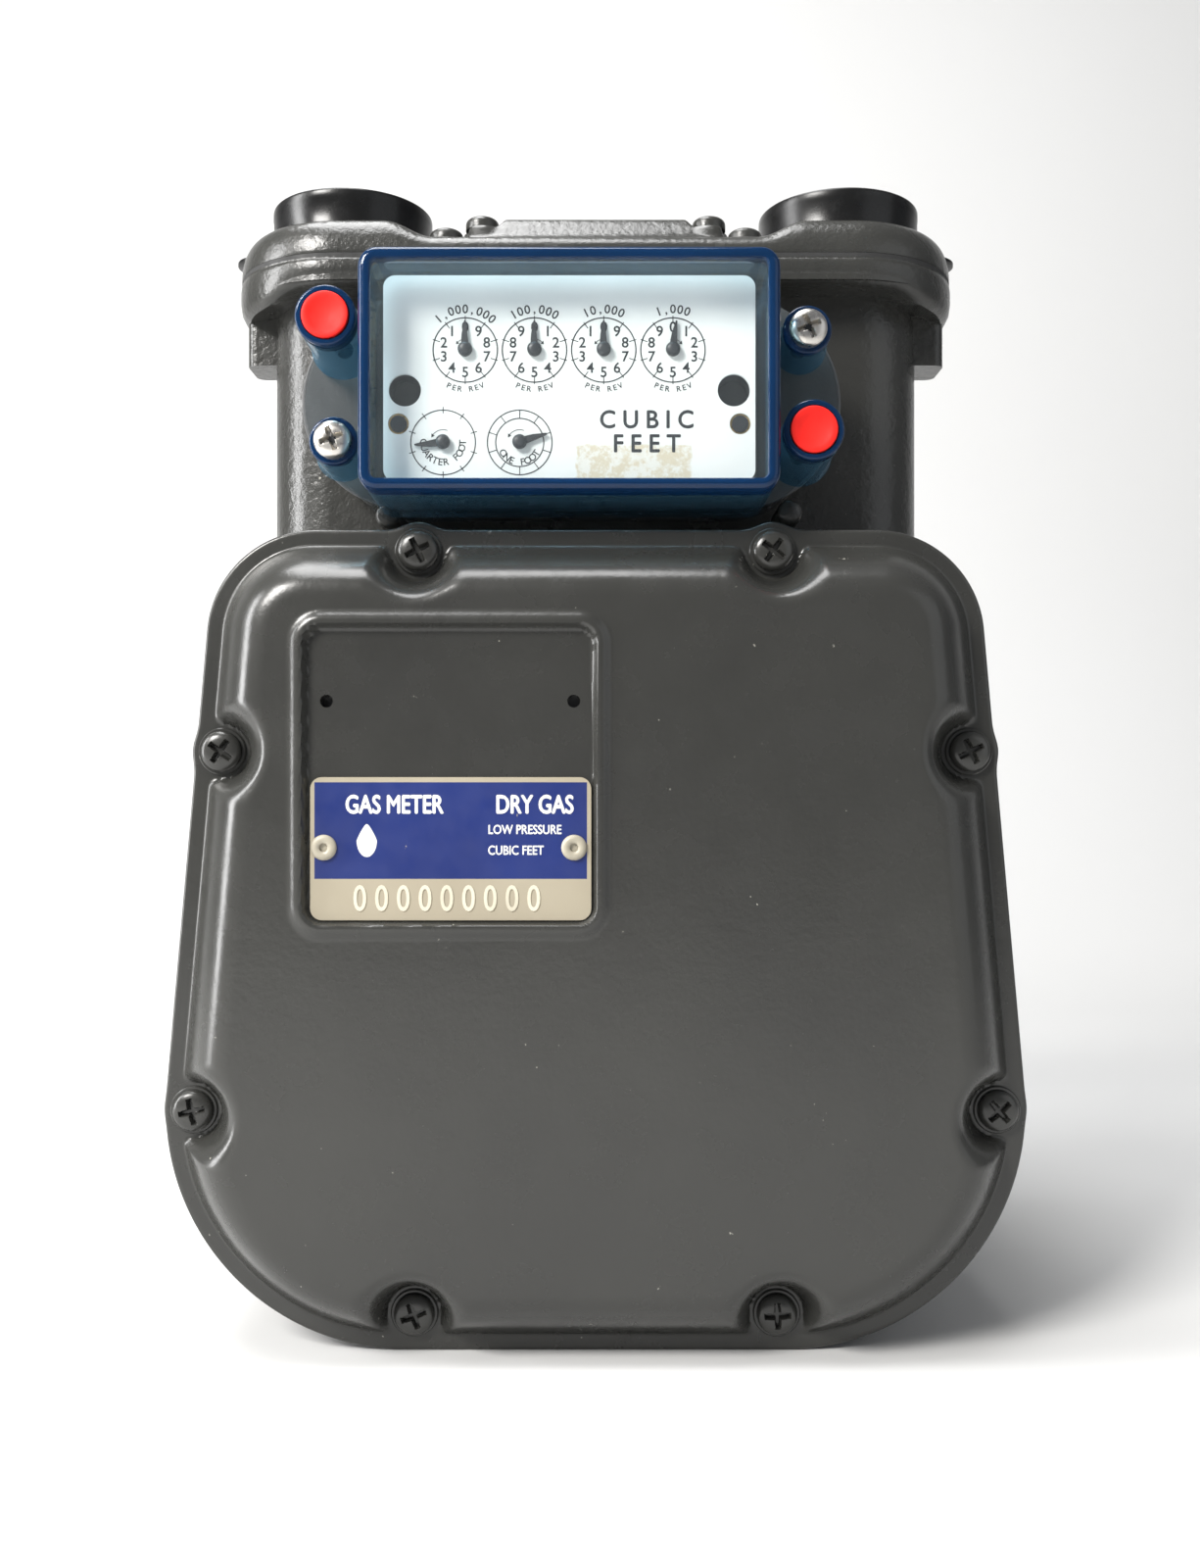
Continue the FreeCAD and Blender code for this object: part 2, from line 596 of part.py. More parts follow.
def make_hood():
    """Top cover: a shelf, a collar round each connection and a raised crown between them."""
    low = "flange_top + top_gasket"
    body = new_body("top_cover")
    sketch = sketch_on(body, "XY_Plane", low)
    draw_hull(sketch, flange_outline())
    pad(body, sketch, f"hood_shelf - ({low})")
    soften(body, "shelf_round", "Z", "hood_shelf")
    sketch = sketch_on(body, "XY_Plane", "hood_shelf")
    for x in SIDES.values():
        draw_circle(sketch, x, "0", "collar_radius")
    pad(body, sketch, "collar_top - hood_shelf", draft="crown_draft")
    soften(body, "hood_round", "Z", "collar_top")
    sketch = sketch_on(body, "XY_Plane", "hood_shelf")
    draw_hull(sketch, [("-crown_x", "0", "crown_radius"), ("crown_x", "0", "crown_radius")])
    pad(body, sketch, "crown_top - hood_shelf", draft="crown_draft")
    soften(body, "hood_round", "Z", "crown_top")
    for x, y, top in HOOD_SCREWS:
        sketch = sketch_on(body, "XY_Plane", low)
        draw_circle(sketch, x, y, "hood_boss_radius")
        pad(body, sketch, f"({top}) - ({low})")
    sketch = sketch_on(body, "XY_Plane", "collar_top")
    for x in SIDES.values():
        draw_circle(sketch, x, "0", "collar_bore")
    pocket(body, sketch, "collar_top - hood_shelf")
    sketch = sketch_on(body, "XY_Plane", "collar_top")
    reach = "flange_x + flange_radius + 1"
    draw_path(sketch, [
        (f"-({reach})", "-tab_slot_half"), ("-port_x", "-tab_slot_half"),
        ("-port_x", "tab_slot_half"), (f"-({reach})", "tab_slot_half"),
    ])
    draw_path(sketch, [
        ("port_x", "-tab_slot_half"), (reach, "-tab_slot_half"),
        (reach, "tab_slot_half"), ("port_x", "tab_slot_half"),
    ])
    pocket(body, sketch, "collar_top - hood_shelf")
    sketch = sketch_on(body, "XY_Plane", "hood_shelf")
    for x in SIDES.values():
        draw_circle(sketch, x, "0", "thread_root + seat_slack")
    pocket(body, sketch, f"hood_shelf - ({low})")
    sketch = sketch_on(body, "XY_Plane", "crown_top")
    for x, y, _ in HOOD_SCREWS:
        draw_circle(sketch, x, y, "hood_screw_radius + hole_slack")
    pocket(body, sketch, "crown_top - flange_top")
    sketch = sketch_on(body, "XY_Plane", low)
    draw_hull(sketch, [("-crown_x", "0", "hollow_radius"), ("crown_x", "0", "hollow_radius")])
    pocket(body, sketch, f"crown_top - hollow_roof - ({low})", onward=True)
    return node(body)


def make_top_gasket():
    body = new_body("top_gasket")
    sketch = sketch_on(body, "XY_Plane", "flange_top")
    draw_hull(sketch, flange_outline())
    for x in SIDES.values():
        draw_circle(sketch, x, "0", "port_flange + seat_slack")
    draw_hull(sketch, [("-crown_x", "0", "hollow_radius"), ("crown_x", "0", "hollow_radius")])
    for x, y, _ in HOOD_SCREWS:
        draw_circle(sketch, x, y, "hood_screw_radius + hole_slack")
    pad(body, sketch, "top_gasket")
    return node(body)


def make_connection(side, x):
    """Threaded sleeve whose foot is trapped between the casting and the top cover."""
    foot = rod(f"{side}_foot", "port_flange", "port_seat", "flange_top", x)
    neck = rod(f"{side}_neck", "thread_root", "port_seat", "port_top", x)
    pitch = num("thread_pitch")
    low = num("thread_low")
    turns = math.floor((num("port_top") - low) / pitch - 0.5)
    path = Part.makeHelix(pitch, pitch * turns, num("thread_root"))
    root = num("thread_root") - num("thread_overlap")
    crest = num("thread_crest")
    points = [(root, -0.42), (crest, -0.08), (crest, 0.08), (root, 0.42)]
    ring = [Vector(r, 0, part * pitch) for r, part in points + points[:1]]
    profile = Part.Wire([Part.makePolygon(ring)])
    sweep = Part.Wire(path.Edges).makePipeShell([profile], True, True)
    thread = shaped(f"{side}_thread", sweep, x, "0", "thread_low")
    bore = rod(f"{side}_bore", "port_bore", "port_seat - 1", "port_top + 1", x)
    whole = joined(f"{side}_whole", [foot, neck, thread])
    return node(less(f"{side}_connection", whole, bore))


def make_cap(side, x):
    """Push-on plastic cap with a pull tab on its outer side."""
    body = new_body(f"{side}_cap")
    sketch = sketch_on(body, "XY_Plane")
    draw_circle(sketch, "0", "0", "cap_radius")
    pad(body, sketch, "cap_tall")
    soften(body, "cap_round", "Z", "cap_tall")
    sketch = sketch_on(body, "XY_Plane")
    draw_hull(sketch, [("0", "0", "tab_radius"), ("tab_reach", "0", "tab_radius")])
    pad(body, sketch, "tab_thick")
    sketch = sketch_on(body, "XY_Plane")
    draw_circle(sketch, "0", "0", "cap_bore")
    pocket(body, sketch, "cap_tall - cap_roof", onward=True)
    place(body, x, "0", "cap_low", TURNED if side == "inlet" else UP)
    return node(body)


def make_top():
    make_top_gasket()
    make_hood()
    length = "outer_boss_top - flange_low - 1"
    screw = cross_screw("hood_screw", "hood_screw_radius", length, "hood_head_radius", "hood_head_tall")
    node(copies("top_cover_screws", screw, HOOD_SCREWS, FRONT))
    for side, x in SIDES.items():
        make_connection(side, x)
        make_cap(side, x)


# ---------------------------------------------------------------- index box


def make_index_base():
    body = new_body("index_base")
    sketch = sketch_on(body, "XZ_Plane", "mount_face")
    draw_hull(sketch, mount_outline())
    draw_circle(sketch, "plate_x + foot_dial", "plate_z - test_drop", "bushing_radius")
    for x, z in INDEX_BOSSES:
        draw_circle(sketch, f"index_x + ({x})", f"index_z + ({z})", "box_screw_radius + hole_slack")
    pad(body, sketch, "base_thick")
    return node(body)


def make_index_box():
    """Clear moulded box with a back flange, two tall sealed bosses and two low open ones."""
    back = "mount_face + base_thick"
    half_wide = "box_wide / 2"
    half_tall = "box_tall / 2"
    frame = rounded(
        f"index_x - {half_wide}", f"index_x + {half_wide}",
        f"index_z - box_drop - {half_tall}", f"index_z - box_drop + {half_tall}", "box_corner",
    )
    body = new_body("index_box")
    sketch = sketch_on(body, "XZ_Plane", back)
    draw_hull(sketch, mount_outline(), "box_flange_inset")
    pad(body, sketch, "box_flange")
    sketch = sketch_on(body, "XZ_Plane", back)
    draw_hull(sketch, frame)
    pad(body, sketch, f"box_front - ({back})")
    soften(body, "box_round", "Y", "-box_front")
    for index, (x, z) in enumerate(INDEX_BOSSES):
        kind = "tall_boss" if index < 2 else "low_boss"
        sketch = sketch_on(body, "XZ_Plane", back)
        draw_circle(sketch, f"index_x + ({x})", f"index_z + ({z})", f"{kind}_radius")
        top = "tall_boss" if index < 2 else "head_seat"
        pad(body, sketch, f"({top}) - ({back})")
    sketch = sketch_on(body, "XZ_Plane", back)
    draw_hull(sketch, frame, "box_wall")
    pocket(body, sketch, f"box_front - ({back}) - box_wall", onward=True)
    sketch = sketch_on(body, "XZ_Plane", "tall_boss")
    for x, z in INDEX_BOSSES[:2]:
        draw_circle(sketch, f"index_x + ({x})", f"index_z + ({z})", "plug_radius")
    pocket(body, sketch, "tall_boss - head_seat")
    sketch = sketch_on(body, "XZ_Plane", back)
    for x, z in INDEX_BOSSES:
        draw_circle(sketch, f"index_x + ({x})", f"index_z + ({z})", "box_screw_radius + hole_slack")
    pocket(body, sketch, "tall_boss", onward=True)
    return node(body)


def make_box_fasteners():
    length = "head_seat - box_screw_end"
    screw = cross_screw("box_screw", "box_screw_radius", length, "box_head_radius", "box_head_tall")
    places = [(f"index_x + ({x})", "-head_seat", f"index_z + ({z})") for x, z in INDEX_BOSSES]
    node(copies("index_box_screws", screw, places, TURNED))
    plugs = []
    for index, (x, z) in enumerate(INDEX_BOSSES[:2]):
        across = f"index_x + ({x})"
        up = f"index_z + ({z})"
        front = "tall_boss + plug_proud"
        plugs.append(pin(f"plug_{index}", "plug_radius", "plug_back", front, across, up))
    node(group("seal_plugs", plugs))


# ---------------------------------------------------------------- index mechanism


ADDENDUM = 0.7
DEDENDUM = 0.9
TOOTH_ROOT = 0.20
TOOTH_TIP = 0.08


def gear(teeth, module, thick, phase, bore):
    """A spur gear about the Y axis, its front face at y = 0, with plenty of backlash."""
    pitch_radius = teeth * module / 2
    tip = pitch_radius + ADDENDUM * module
    root = pitch_radius - DEDENDUM * module
    step = 2 * math.pi / teeth
    outline = []
    for index in range(teeth):
        middle = phase + index * step
        corners = ((root, -TOOTH_ROOT), (tip, -TOOTH_TIP), (tip, TOOTH_TIP), (root, TOOTH_ROOT))
        for radius, part in corners:
            angle = middle + part * step
            outline.append(Vector(radius * math.cos(angle), 0, radius * math.sin(angle)))
    face = Part.Face(Part.makePolygon(outline + outline[:1]))
    wheel = face.extrude(Vector(0, thick, 0))
    return wheel.cut(Part.makeCylinder(bore, 3 * thick, Vector(0, -thick, 0), Vector(0, 1, 0)))


def meeting_point(start, end, first, second, side):
    """The point at two given distances from two others, on the left (+1) or right (-1)."""
    across = math.hypot(end[0] - start[0], end[1] - start[1])
    along = (first ** 2 - second ** 2 + across ** 2) / (2 * across)
    off = side * math.sqrt(first ** 2 - along ** 2)
    ux = (end[0] - start[0]) / across
    uz = (end[1] - start[1]) / across
    return (start[0] + along * ux - off * uz, start[1] + along * uz + off * ux)


def bearing(start, end):
    return math.atan2(end[1] - start[1], end[0] - start[0])


WHEEL_TEETH = 60
PINION_TEETH = 6
FOOT_TEETH = 48
IDLER_TEETH = 24
QUARTER_TEETH = 12
TEST_MODULE = 0.4
FIRST_ARBOR_TURN = 20


def arbor_places():
    """Where each arbor stands on the dial plate, as x and z."""
    row = num("plate_z + dial_rise")
    test = num("plate_z - test_drop")
    pitch = num("dial_pitch")
    first = num("plate_x + first_dial")
    names = ("million", "hundred_thousand", "ten_thousand", "thousand")
    spots = {name: (first + index * pitch, row) for index, name in enumerate(names)}
    spots["one_foot"] = (num("plate_x + foot_dial"), test)
    spots["quarter_foot"] = (num("plate_x + quarter_dial"), test)
    angle = math.radians(FIRST_ARBOR_TURN)
    foot = spots["one_foot"]
    spots["ten_foot"] = (foot[0] + pitch * math.cos(angle), foot[1] + pitch * math.sin(angle))
    spots["hundred_foot"] = meeting_point(spots["ten_foot"], spots["thousand"], pitch, pitch, -1)
    near = TEST_MODULE * (QUARTER_TEETH + IDLER_TEETH) / 2
    far = TEST_MODULE * (IDLER_TEETH + FOOT_TEETH) / 2
    spots["idler"] = meeting_point(spots["quarter_foot"], foot, near, far, -1)
    return spots


# Each step down of ten: the wheel's arbor, the pinion's arbor and the layer they share.
DECADES = [
    ("million", "hundred_thousand", 0),
    ("hundred_thousand", "ten_thousand", 1),
    ("ten_thousand", "thousand", 2),
    ("thousand", "hundred_foot", 0),
    ("hundred_foot", "ten_foot", 4),
    ("ten_foot", "one_foot", 3),
]
# Angle of each pointer, in degrees clockwise from the top.
POINTERS = {
    "million": 0, "hundred_thousand": 0, "ten_thousand": 0, "thousand": 7,
    "quarter_foot": 263.6, "one_foot": 73.7,
}


def make_arbors(spots):
    """One arbor for each place, with the wheels and pinions it carries."""
    parts = {name: [] for name in spots}
    thick = num("gear_thick")
    core = num("arbor_radius - arbor_sunk")
    module = 2 * num("dial_pitch") / (WHEEL_TEETH + PINION_TEETH)

    def carry(name, teeth, size, phase, layer):
        front = -(num("first_layer") + layer * num("layer_pitch")) - thick / 2
        shape = gear(teeth, size, thick, phase, core)
        shape.translate(Vector(spots[name][0], front, spots[name][1]))
        parts[name].append(shape)

    for wheel, pinion, layer in DECADES:
        toward = bearing(spots[wheel], spots[pinion])
        carry(wheel, WHEEL_TEETH, module, toward, layer)
        carry(pinion, PINION_TEETH, module, toward + math.pi + math.pi / PINION_TEETH, layer)
    foot_turn = bearing(spots["one_foot"], spots["idler"])
    idler_phase = foot_turn + math.pi + math.pi / IDLER_TEETH
    carry("one_foot", FOOT_TEETH, TEST_MODULE, foot_turn, 0)
    carry("idler", IDLER_TEETH, TEST_MODULE, idler_phase, 0)
    onward = bearing(spots["idler"], spots["quarter_foot"])
    step = 2 * math.pi / IDLER_TEETH
    lead = (idler_phase - onward) % step
    gap = onward + math.pi - lead * IDLER_TEETH / QUARTER_TEETH
    carry("quarter_foot", QUARTER_TEETH, TEST_MODULE, gap + math.pi / QUARTER_TEETH, 0)
    for name, (x, z) in spots.items():
        front = "arbor_front" if name in POINTERS else "dial_front - dial_thick - arbor_gap"
        back = "frame_front - frame_thick"
        stem = Part.makeCylinder(
            num("arbor_radius"), num(f"({front}) - ({back})"),
            Vector(x, -num(back), z), Vector(0, -1, 0),
        )
        node(shaped(f"{name}_arbor", stem.multiFuse(parts[name]).removeSplitter()))


def make_pointers(spots):
    for name, degrees in POINTERS.items():
        body = new_body(f"{name}_pointer")
        sketch = sketch_on(body, "XZ_Plane", "0")
        draw_circle(sketch, "0", "0", "pointer_hub")
        pad(body, sketch, "pointer_thick * 1.5")
        sketch = sketch_on(body, "XZ_Plane", "0")
        draw_hull(sketch, [
            ("0", "0", "pointer_root"), ("0", "pointer_long - pointer_tip", "pointer_tip"),
            ("0", "pointer_long / 2", "pointer_waist"),
        ])
        pad(body, sketch, "pointer_thick")
        sketch = sketch_on(body, "XZ_Plane", "0")
        draw_circle(sketch, "0", "0", "arbor_radius")
        pocket(body, sketch, "3 * pointer_thick", onward=True)
        x, z = spots[name]
        body.Placement = FreeCAD.Placement(
            Vector(x, -num("pointer_back"), z), FreeCAD.Rotation(Vector(0, 1, 0), degrees)
        )
        bind(body, Placement__Base__y="-pointer_back")
        node(body)


def plate_outline():
    return rounded(
        "plate_x - plate_wide / 2", "plate_x + plate_wide / 2",
        "plate_z - plate_tall / 2", "plate_z + plate_tall / 2", "plate_corner",
    )


def make_plates(spots):
    """The frame plate behind the wheels, the dial plate in front, and what joins them."""
    frame = new_body("index_frame")
    sketch = sketch_on(frame, "XZ_Plane", "frame_front - frame_thick")
    draw_hull(sketch, plate_outline())
    for x, z in spots.values():
        draw_circle(sketch, str(x), str(z), "arbor_radius + arbor_slack")
    pad(frame, sketch, "frame_thick")
    node(frame)
    dial = new_body("dial_plate")
    sketch = sketch_on(dial, "XZ_Plane", "dial_front - dial_thick")
    draw_hull(sketch, plate_outline())
    for name in POINTERS:
        draw_circle(sketch, str(spots[name][0]), str(spots[name][1]), "dial_hole")
    for sign in ("-", "+"):
        draw_circle(sketch, f"plate_x {sign} port_hole_x", "plate_z - port_hole_drop", "port_hole_radius")
        draw_circle(sketch, f"plate_x {sign} pillar_x", "plate_z - pillar_drop", "dial_screw_hole")
    pad(dial, sketch, "dial_thick")
    node(dial)
    pillars = []
    screws = []
    for sign in ("-", "+"):
        name = "left" if sign == "-" else "right"
        top = "dial_front - dial_thick"
        low_x = f"plate_x {sign} pillar_x"
        low_z = "plate_z - pillar_drop"
        high_x = f"plate_x {sign} pillar_high_x"
        pillars.append(pin(f"low_pillar_{name}", "pillar_radius", "frame_front", top, low_x, low_z))
        pillars.append(
            pin(f"high_pillar_{name}", "pillar_radius", "frame_front", top, high_x, "plate_z + pillar_rise")
        )
        front = f"{top} + dial_screw_tall"
        screws.append(pin(f"dial_screw_{name}", "screw_radius", top, front, low_x, low_z))
    node(group("index_pillars", pillars))
    node(group("dial_plate_screws", screws))


def make_index():
    make_index_base()
    make_index_box()
    make_box_fasteners()
    spots = arbor_places()
    make_arbors(spots)
    make_pointers(spots)
    make_plates(spots)


# ---------------------------------------------------------------- drive from crank to index


WORM_ROOT = 1.1
WORM_CREST = 0.8
WORM_FOOT = 0.24
WORM_TIP = 0.10


def worm_axis():
    return "plate_x + foot_dial + wheel_teeth * worm_module / 2 + worm_radius"


def make_crank():
    """Upright crank shaft with a single-start worm, its throw plate and crank pin."""
    x = worm_axis()
    wheel_z = num("plate_z - test_drop")
    lead = math.pi * num("worm_module")
    low = wheel_z - lead * num("worm_turns") / 2
    shaft = rod("crank_stem", "crank_radius", "crank_foot", "crank_top", x)
    high = low + lead * num("worm_turns")
    core = rod("worm_core", "worm_radius - worm_module", str(low), str(high), x)
    radius = num("worm_radius")
    module = num("worm_module")
    path = Part.makeHelix(lead, lead * (num("worm_turns") - 1), radius)
    root = radius - WORM_ROOT * module
    crest = radius + WORM_CREST * module
    points = [(root, -WORM_FOOT), (crest, -WORM_TIP), (crest, WORM_TIP), (root, WORM_FOOT)]
    ring = [Vector(r, 0, part * lead) for r, part in points + points[:1]]
    thread = Part.Wire(path.Edges).makePipeShell([Part.Wire([Part.makePolygon(ring)])], True, True)
    worm = shaped("worm_thread", thread, x, "0", str(low))
    plate = block(
        "crank_throw_plate", f"{x} - crank_edge", f"{x} + crank_throw + crank_edge",
        "-crank_edge", "crank_edge",
        "crank_plate_low", "crank_plate_low + crank_plate",
    )
    throw = rod(
        "crank_throw_pin", "crank_pin", "crank_plate_low", "crank_top + crank_pin_up",
        f"{x} + crank_throw",
    )
    node(joined("crank_shaft", [shaft, core, worm, plate, throw]))


def make_index_drive():
    """Cross shaft from the worm wheel through the gallery wall to the index."""
    x = "plate_x + foot_dial"
    z = "plate_z - test_drop"
    end = "frame_front - frame_thick"
    shaft = pin("index_drive_stem", "shaft_radius", "-shaft_rear", f"{end} - dog_gap", x, z)
    dog = pin("index_drive_dog", "dog_radius", f"{end} - dog_long", end, x, z)
    node(joined("index_drive_shaft", [shaft, dog]))
    wide = num("wheel_wide")
    teeth = int(num("wheel_teeth"))
    wheel = gear(teeth, num("worm_module"), wide, math.pi / teeth, num("shaft_radius"))
    wheel.translate(Vector(0, -wide / 2, 0))
    node(shaped("worm_wheel", wheel, x, "0", z))
    bushing = pin("bushing_outer", "bushing_radius", "gallery_radius - gallery_wall", "mount_floor", x, z)
    bore = pin("bushing_bore", "shaft_radius + rod_slack", "0", "mount_face", x, z)
    less("drive_bushing", bushing, bore)


def make_crank_bridge():
    x = worm_axis()
    table = "gallery_floor + table_thick"
    left = f"{x} - bridge_side"
    right = f"{x} + bridge_side"
    top = "bridge_low + bridge_thick"
    edge = "bridge_half - bridge_leg"
    deck = block("bridge_deck", left, right, "-bridge_half", "bridge_half", "bridge_low", top)
    foot = f"{x} - bridge_leg"
    front = block("bridge_front", foot, right, "-bridge_half", f"-({edge})", table, "bridge_low")
    rear = block("bridge_rear", foot, right, edge, "bridge_half", table, "bridge_low")
    hole = rod("bridge_hole", "crank_radius + rod_slack", "bridge_low - 1", f"{top} + 1", x)
    node(less("crank_bridge", joined("bridge_whole", [deck, front, rear]), hole))


# ---------------------------------------------------------------- diaphragms and valves


def make_diaphragm():
    """Front diaphragm at mid stroke: its clamped edge, convolution and centre disc."""
    seat = "partition_thick / 2"
    body = new_body("front_diaphragm")
    sketch = sketch_on(body, "XY_Plane")
    mid = "pan_mid"
    draw_path(sketch, [
        ("0", f"-({mid}) - skin / 2"), ("pan_radius + skin", f"-({mid}) - skin / 2"),
        ("ring_inner", f"-({seat}) - skin - clamp_gap"),
        ("ring_radius", f"-({seat}) - skin - clamp_gap"),
        ("ring_radius", f"-({seat})"), ("ring_inner - skin", f"-({seat})"),
        ("pan_radius", f"-({mid}) + skin / 2"), ("0", f"-({mid}) + skin / 2"),
    ])
    revolved(body, sketch)
    place(body, "0", "0", "chest_z")
    node(body)
    pans = []
    for which, sign in (("inner", "-"), ("outer", "+")):
        edge = f"pan_mid {sign} skin / 2"
        far = f"{edge} {sign} pan_thick"
        ends = (far, edge) if sign == "-" else (edge, far)
        pans.append(pin(f"{which}_pan", "pan_radius - pan_inset", ends[0], ends[1], "0", "chest_z"))
    bracket = block(
        "bracket_block", "-bracket_half", "bracket_half",
        "-flag_y", "-(pan_mid + skin / 2 + pan_thick)",
        "chest_z - bracket_tall", "chest_z + bracket_tall",
    )
    slot = block(
        "bracket_slot", "-2 * bracket_half", "2 * bracket_half",
        "-flag_y - 1", "-(pan_mid + skin / 2 + pan_thick + bracket_web)",
        "chest_z - bracket_slot", "chest_z + bracket_slot",
    )
    pans.append(less("pan_bracket", bracket, slot))
    node(group("front_pans", pans))
    clamp = pin(
        "clamp_outer", "ring_radius", f"{seat} + skin + clamp_gap", f"{seat} + skin + ring_thick",
        "0", "chest_z",
    )
    hole = pin("clamp_hole", "ring_inner", "0", "case_face", "0", "chest_z")
    ring = less("diaphragm_ring", clamp, hole)
    node(group("diaphragm_rings", [ring, turned_copy("diaphragm_ring_back", ring)]))


def make_flag():
    """Upright flag rod with the flag that follows the pan, and its arm in the gallery."""
    node(rod("front_flag_rod", "rod_radius", "rod_low", "rod_top", "-rod_x", "-rod_y"))
    high = "flag_low + flag_tall"
    sleeve = rod("sleeve_outer", "flag_sleeve", "flag_low", high, "-rod_x", "-rod_y")
    web = block(
        "flag_web", "-rod_x - flag_thick", "-rod_x + flag_thick",
        "-flag_y - flag_thick", "-rod_y - rod_radius - flag_gap",
        "flag_low + flag_margin", f"{high} - flag_margin",
    )
    blade = block(
        "flag_blade", "-rod_x - flag_thick", "-rod_x + flag_reach",
        "-flag_y - flag_thick", "-flag_y",
        "flag_low + flag_margin", f"{high} - flag_margin",
    )
    hole = rod("flag_hole", "rod_radius", "flag_low - 1", "flag_low + flag_tall + 1", "-rod_x", "-rod_y")
    node(less("front_flag", joined("flag_whole", [sleeve, web, blade]), hole))
    arm = new_body("front_flag_arm")
    sketch = sketch_on(arm, "XY_Plane", "arm_low")
    draw_hull(sketch, [("-rod_x", "-rod_y", "arm_root"), ("-rod_x + arm_reach", "-rod_y", "arm_tip")])
    draw_circle(sketch, "-rod_x", "-rod_y", "rod_radius")
    draw_circle(sketch, "-rod_x + arm_reach", "-rod_y", "link_pin + link_slack")
    pad(arm, sketch, "arm_thick")
    node(arm)
    link = new_body("front_link")
    sketch = sketch_on(link, "XY_Plane", "arm_low + arm_thick + link_gap")
    draw_hull(sketch, [
        ("-rod_x + arm_reach", "-rod_y", "arm_tip"),
        ("-rod_x + arm_reach + link_reach", "-rod_y + link_side", "link_tip"),
    ])
    pad(link, sketch, "link_thick")
    sketch = sketch_on(link, "XY_Plane", "arm_low + arm_thick + link_gap")
    draw_circle(sketch, "-rod_x + arm_reach", "-rod_y", "link_pin")
    pad(link, sketch, "arm_thick + link_gap", inward=True)
    node(link)
    outer = rod(
        "flag_bushing_outer", "rod_bushing", "gallery_floor - bushing_deep",
        "gallery_floor + bushing_proud", "-rod_x", "-rod_y",
    )
    bore = rod("flag_bushing_bore", "rod_radius + rod_slack", "0", "rod_top", "-rod_x", "-rod_y")
    bushing = less("rod_bushing", outer, bore)
    drive = doc.getObject("drive_bushing")
    node(group("shaft_bushings", [bushing, turned_copy("rod_bushing_back", bushing), drive]))
    step = block(
        "step_block", "-rod_x - step_half", "-rod_x + step_half",
        "-rod_y - step_half", "-partition_thick / 2",
        "rod_low - step_deep", "rod_low + step_tall",
    )
    blind = rod(
        "step_hole", "rod_radius + rod_slack", "rod_low - link_gap", "rod_top", "-rod_x", "-rod_y",
    )
    footstep = less("rod_step", step, blind)
    node(group("rod_steps", [footstep, turned_copy("rod_step_back", footstep)]))


def make_linkage():
    make_diaphragm()
    make_flag()
    for piece in ("diaphragm", "pans", "flag_rod", "flag", "flag_arm", "link"):
        node(turned_copy(f"back_{piece}", doc.getObject(f"front_{piece}")))


def make_valves():
    """Valve table on the gallery floor and the two D-shaped valves that slide on it."""
    table = new_body("valve_table")
    sketch = sketch_on(table, "XY_Plane", "gallery_floor")
    draw_hull(sketch, rounded("table_left", "table_right", "-table_half", "table_half", "table_corner"))
    for middle in ("valve_left", "valve_right"):
        for offset in ("-port_gap", "0", "port_gap"):
            left = f"{middle} + ({offset}) - port_long / 2"
            right = f"{middle} + ({offset}) + port_long / 2"
            draw_path(sketch, [
                (left, "-valve_half + valve_wall"), (right, "-valve_half + valve_wall"),
                (right, "valve_half - valve_wall"), (left, "valve_half - valve_wall"),
            ])
    pad(table, sketch, "table_thick")
    sketch = sketch_on(table, "XY_Plane", "gallery_floor + table_thick")
    draw_circle(sketch, worm_axis(), "0", "hub_radius")
    pad(table, sketch, "hub_tall")
    sketch = sketch_on(table, "XY_Plane", "gallery_floor + table_thick + hub_tall")
    draw_circle(sketch, worm_axis(), "0", "crank_radius + rod_slack")
    pocket(table, sketch, "hub_tall")
    node(table)
    for side, middle in (("left", "valve_left"), ("right", "valve_right")):
        seat = "gallery_floor + table_thick + valve_lift"
        top = f"{seat} + valve_tall"
        shell = block(
            f"{side}_valve_shell", f"{middle} - valve_long / 2", f"{middle} + valve_long / 2",
            "-valve_half", "valve_half", seat, top,
        )
        hollow = block(
            f"{side}_valve_hollow", f"{middle} - port_gap", f"{middle} + port_gap",
            "-valve_half + valve_wall", "valve_half - valve_wall",
            f"{seat} - 1", f"{top} - valve_roof",
        )
        ear = rod(f"{side}_valve_ear", "ear_radius", top, f"{top} + ear_tall", middle)
        whole = joined(f"{side}_valve_whole", [shell, ear])
        node(less(f"{side}_slide_valve", whole, hollow))


def duct_solid(name, wall, top):
    """Elbow from the valve table up to the outlet, shrunk by a wall all round."""
    low = "gallery_floor + table_thick"
    x_low = f"duct_left + {wall}"
    leg = block(
        f"{name}_leg", x_low, f"duct_left + duct_leg - {wall}",
        f"-duct_half + {wall}", f"-duct_front - {wall}",
        f"{low} - 3 * {wall}", "duct_low + 2 * duct_wall",
    )
    run = block(
        f"{name}_run", x_low, "gallery_x", f"-duct_half + {wall}", f"duct_half - {wall}",
        f"duct_low + {wall}", f"port_seat - duct_drop - {wall}",
    )
    head = rod(f"{name}_head", f"duct_radius - {wall}", f"duct_low + {wall}", top, "gallery_x")
    return joined(name, [leg, run, head])


def make_outlet_duct():
    outer = duct_solid("duct_outer", "0", "port_seat")
    inner = duct_solid("duct_inner", "duct_wall", "port_seat + 1")
    node(less("outlet_duct", outer, inner))


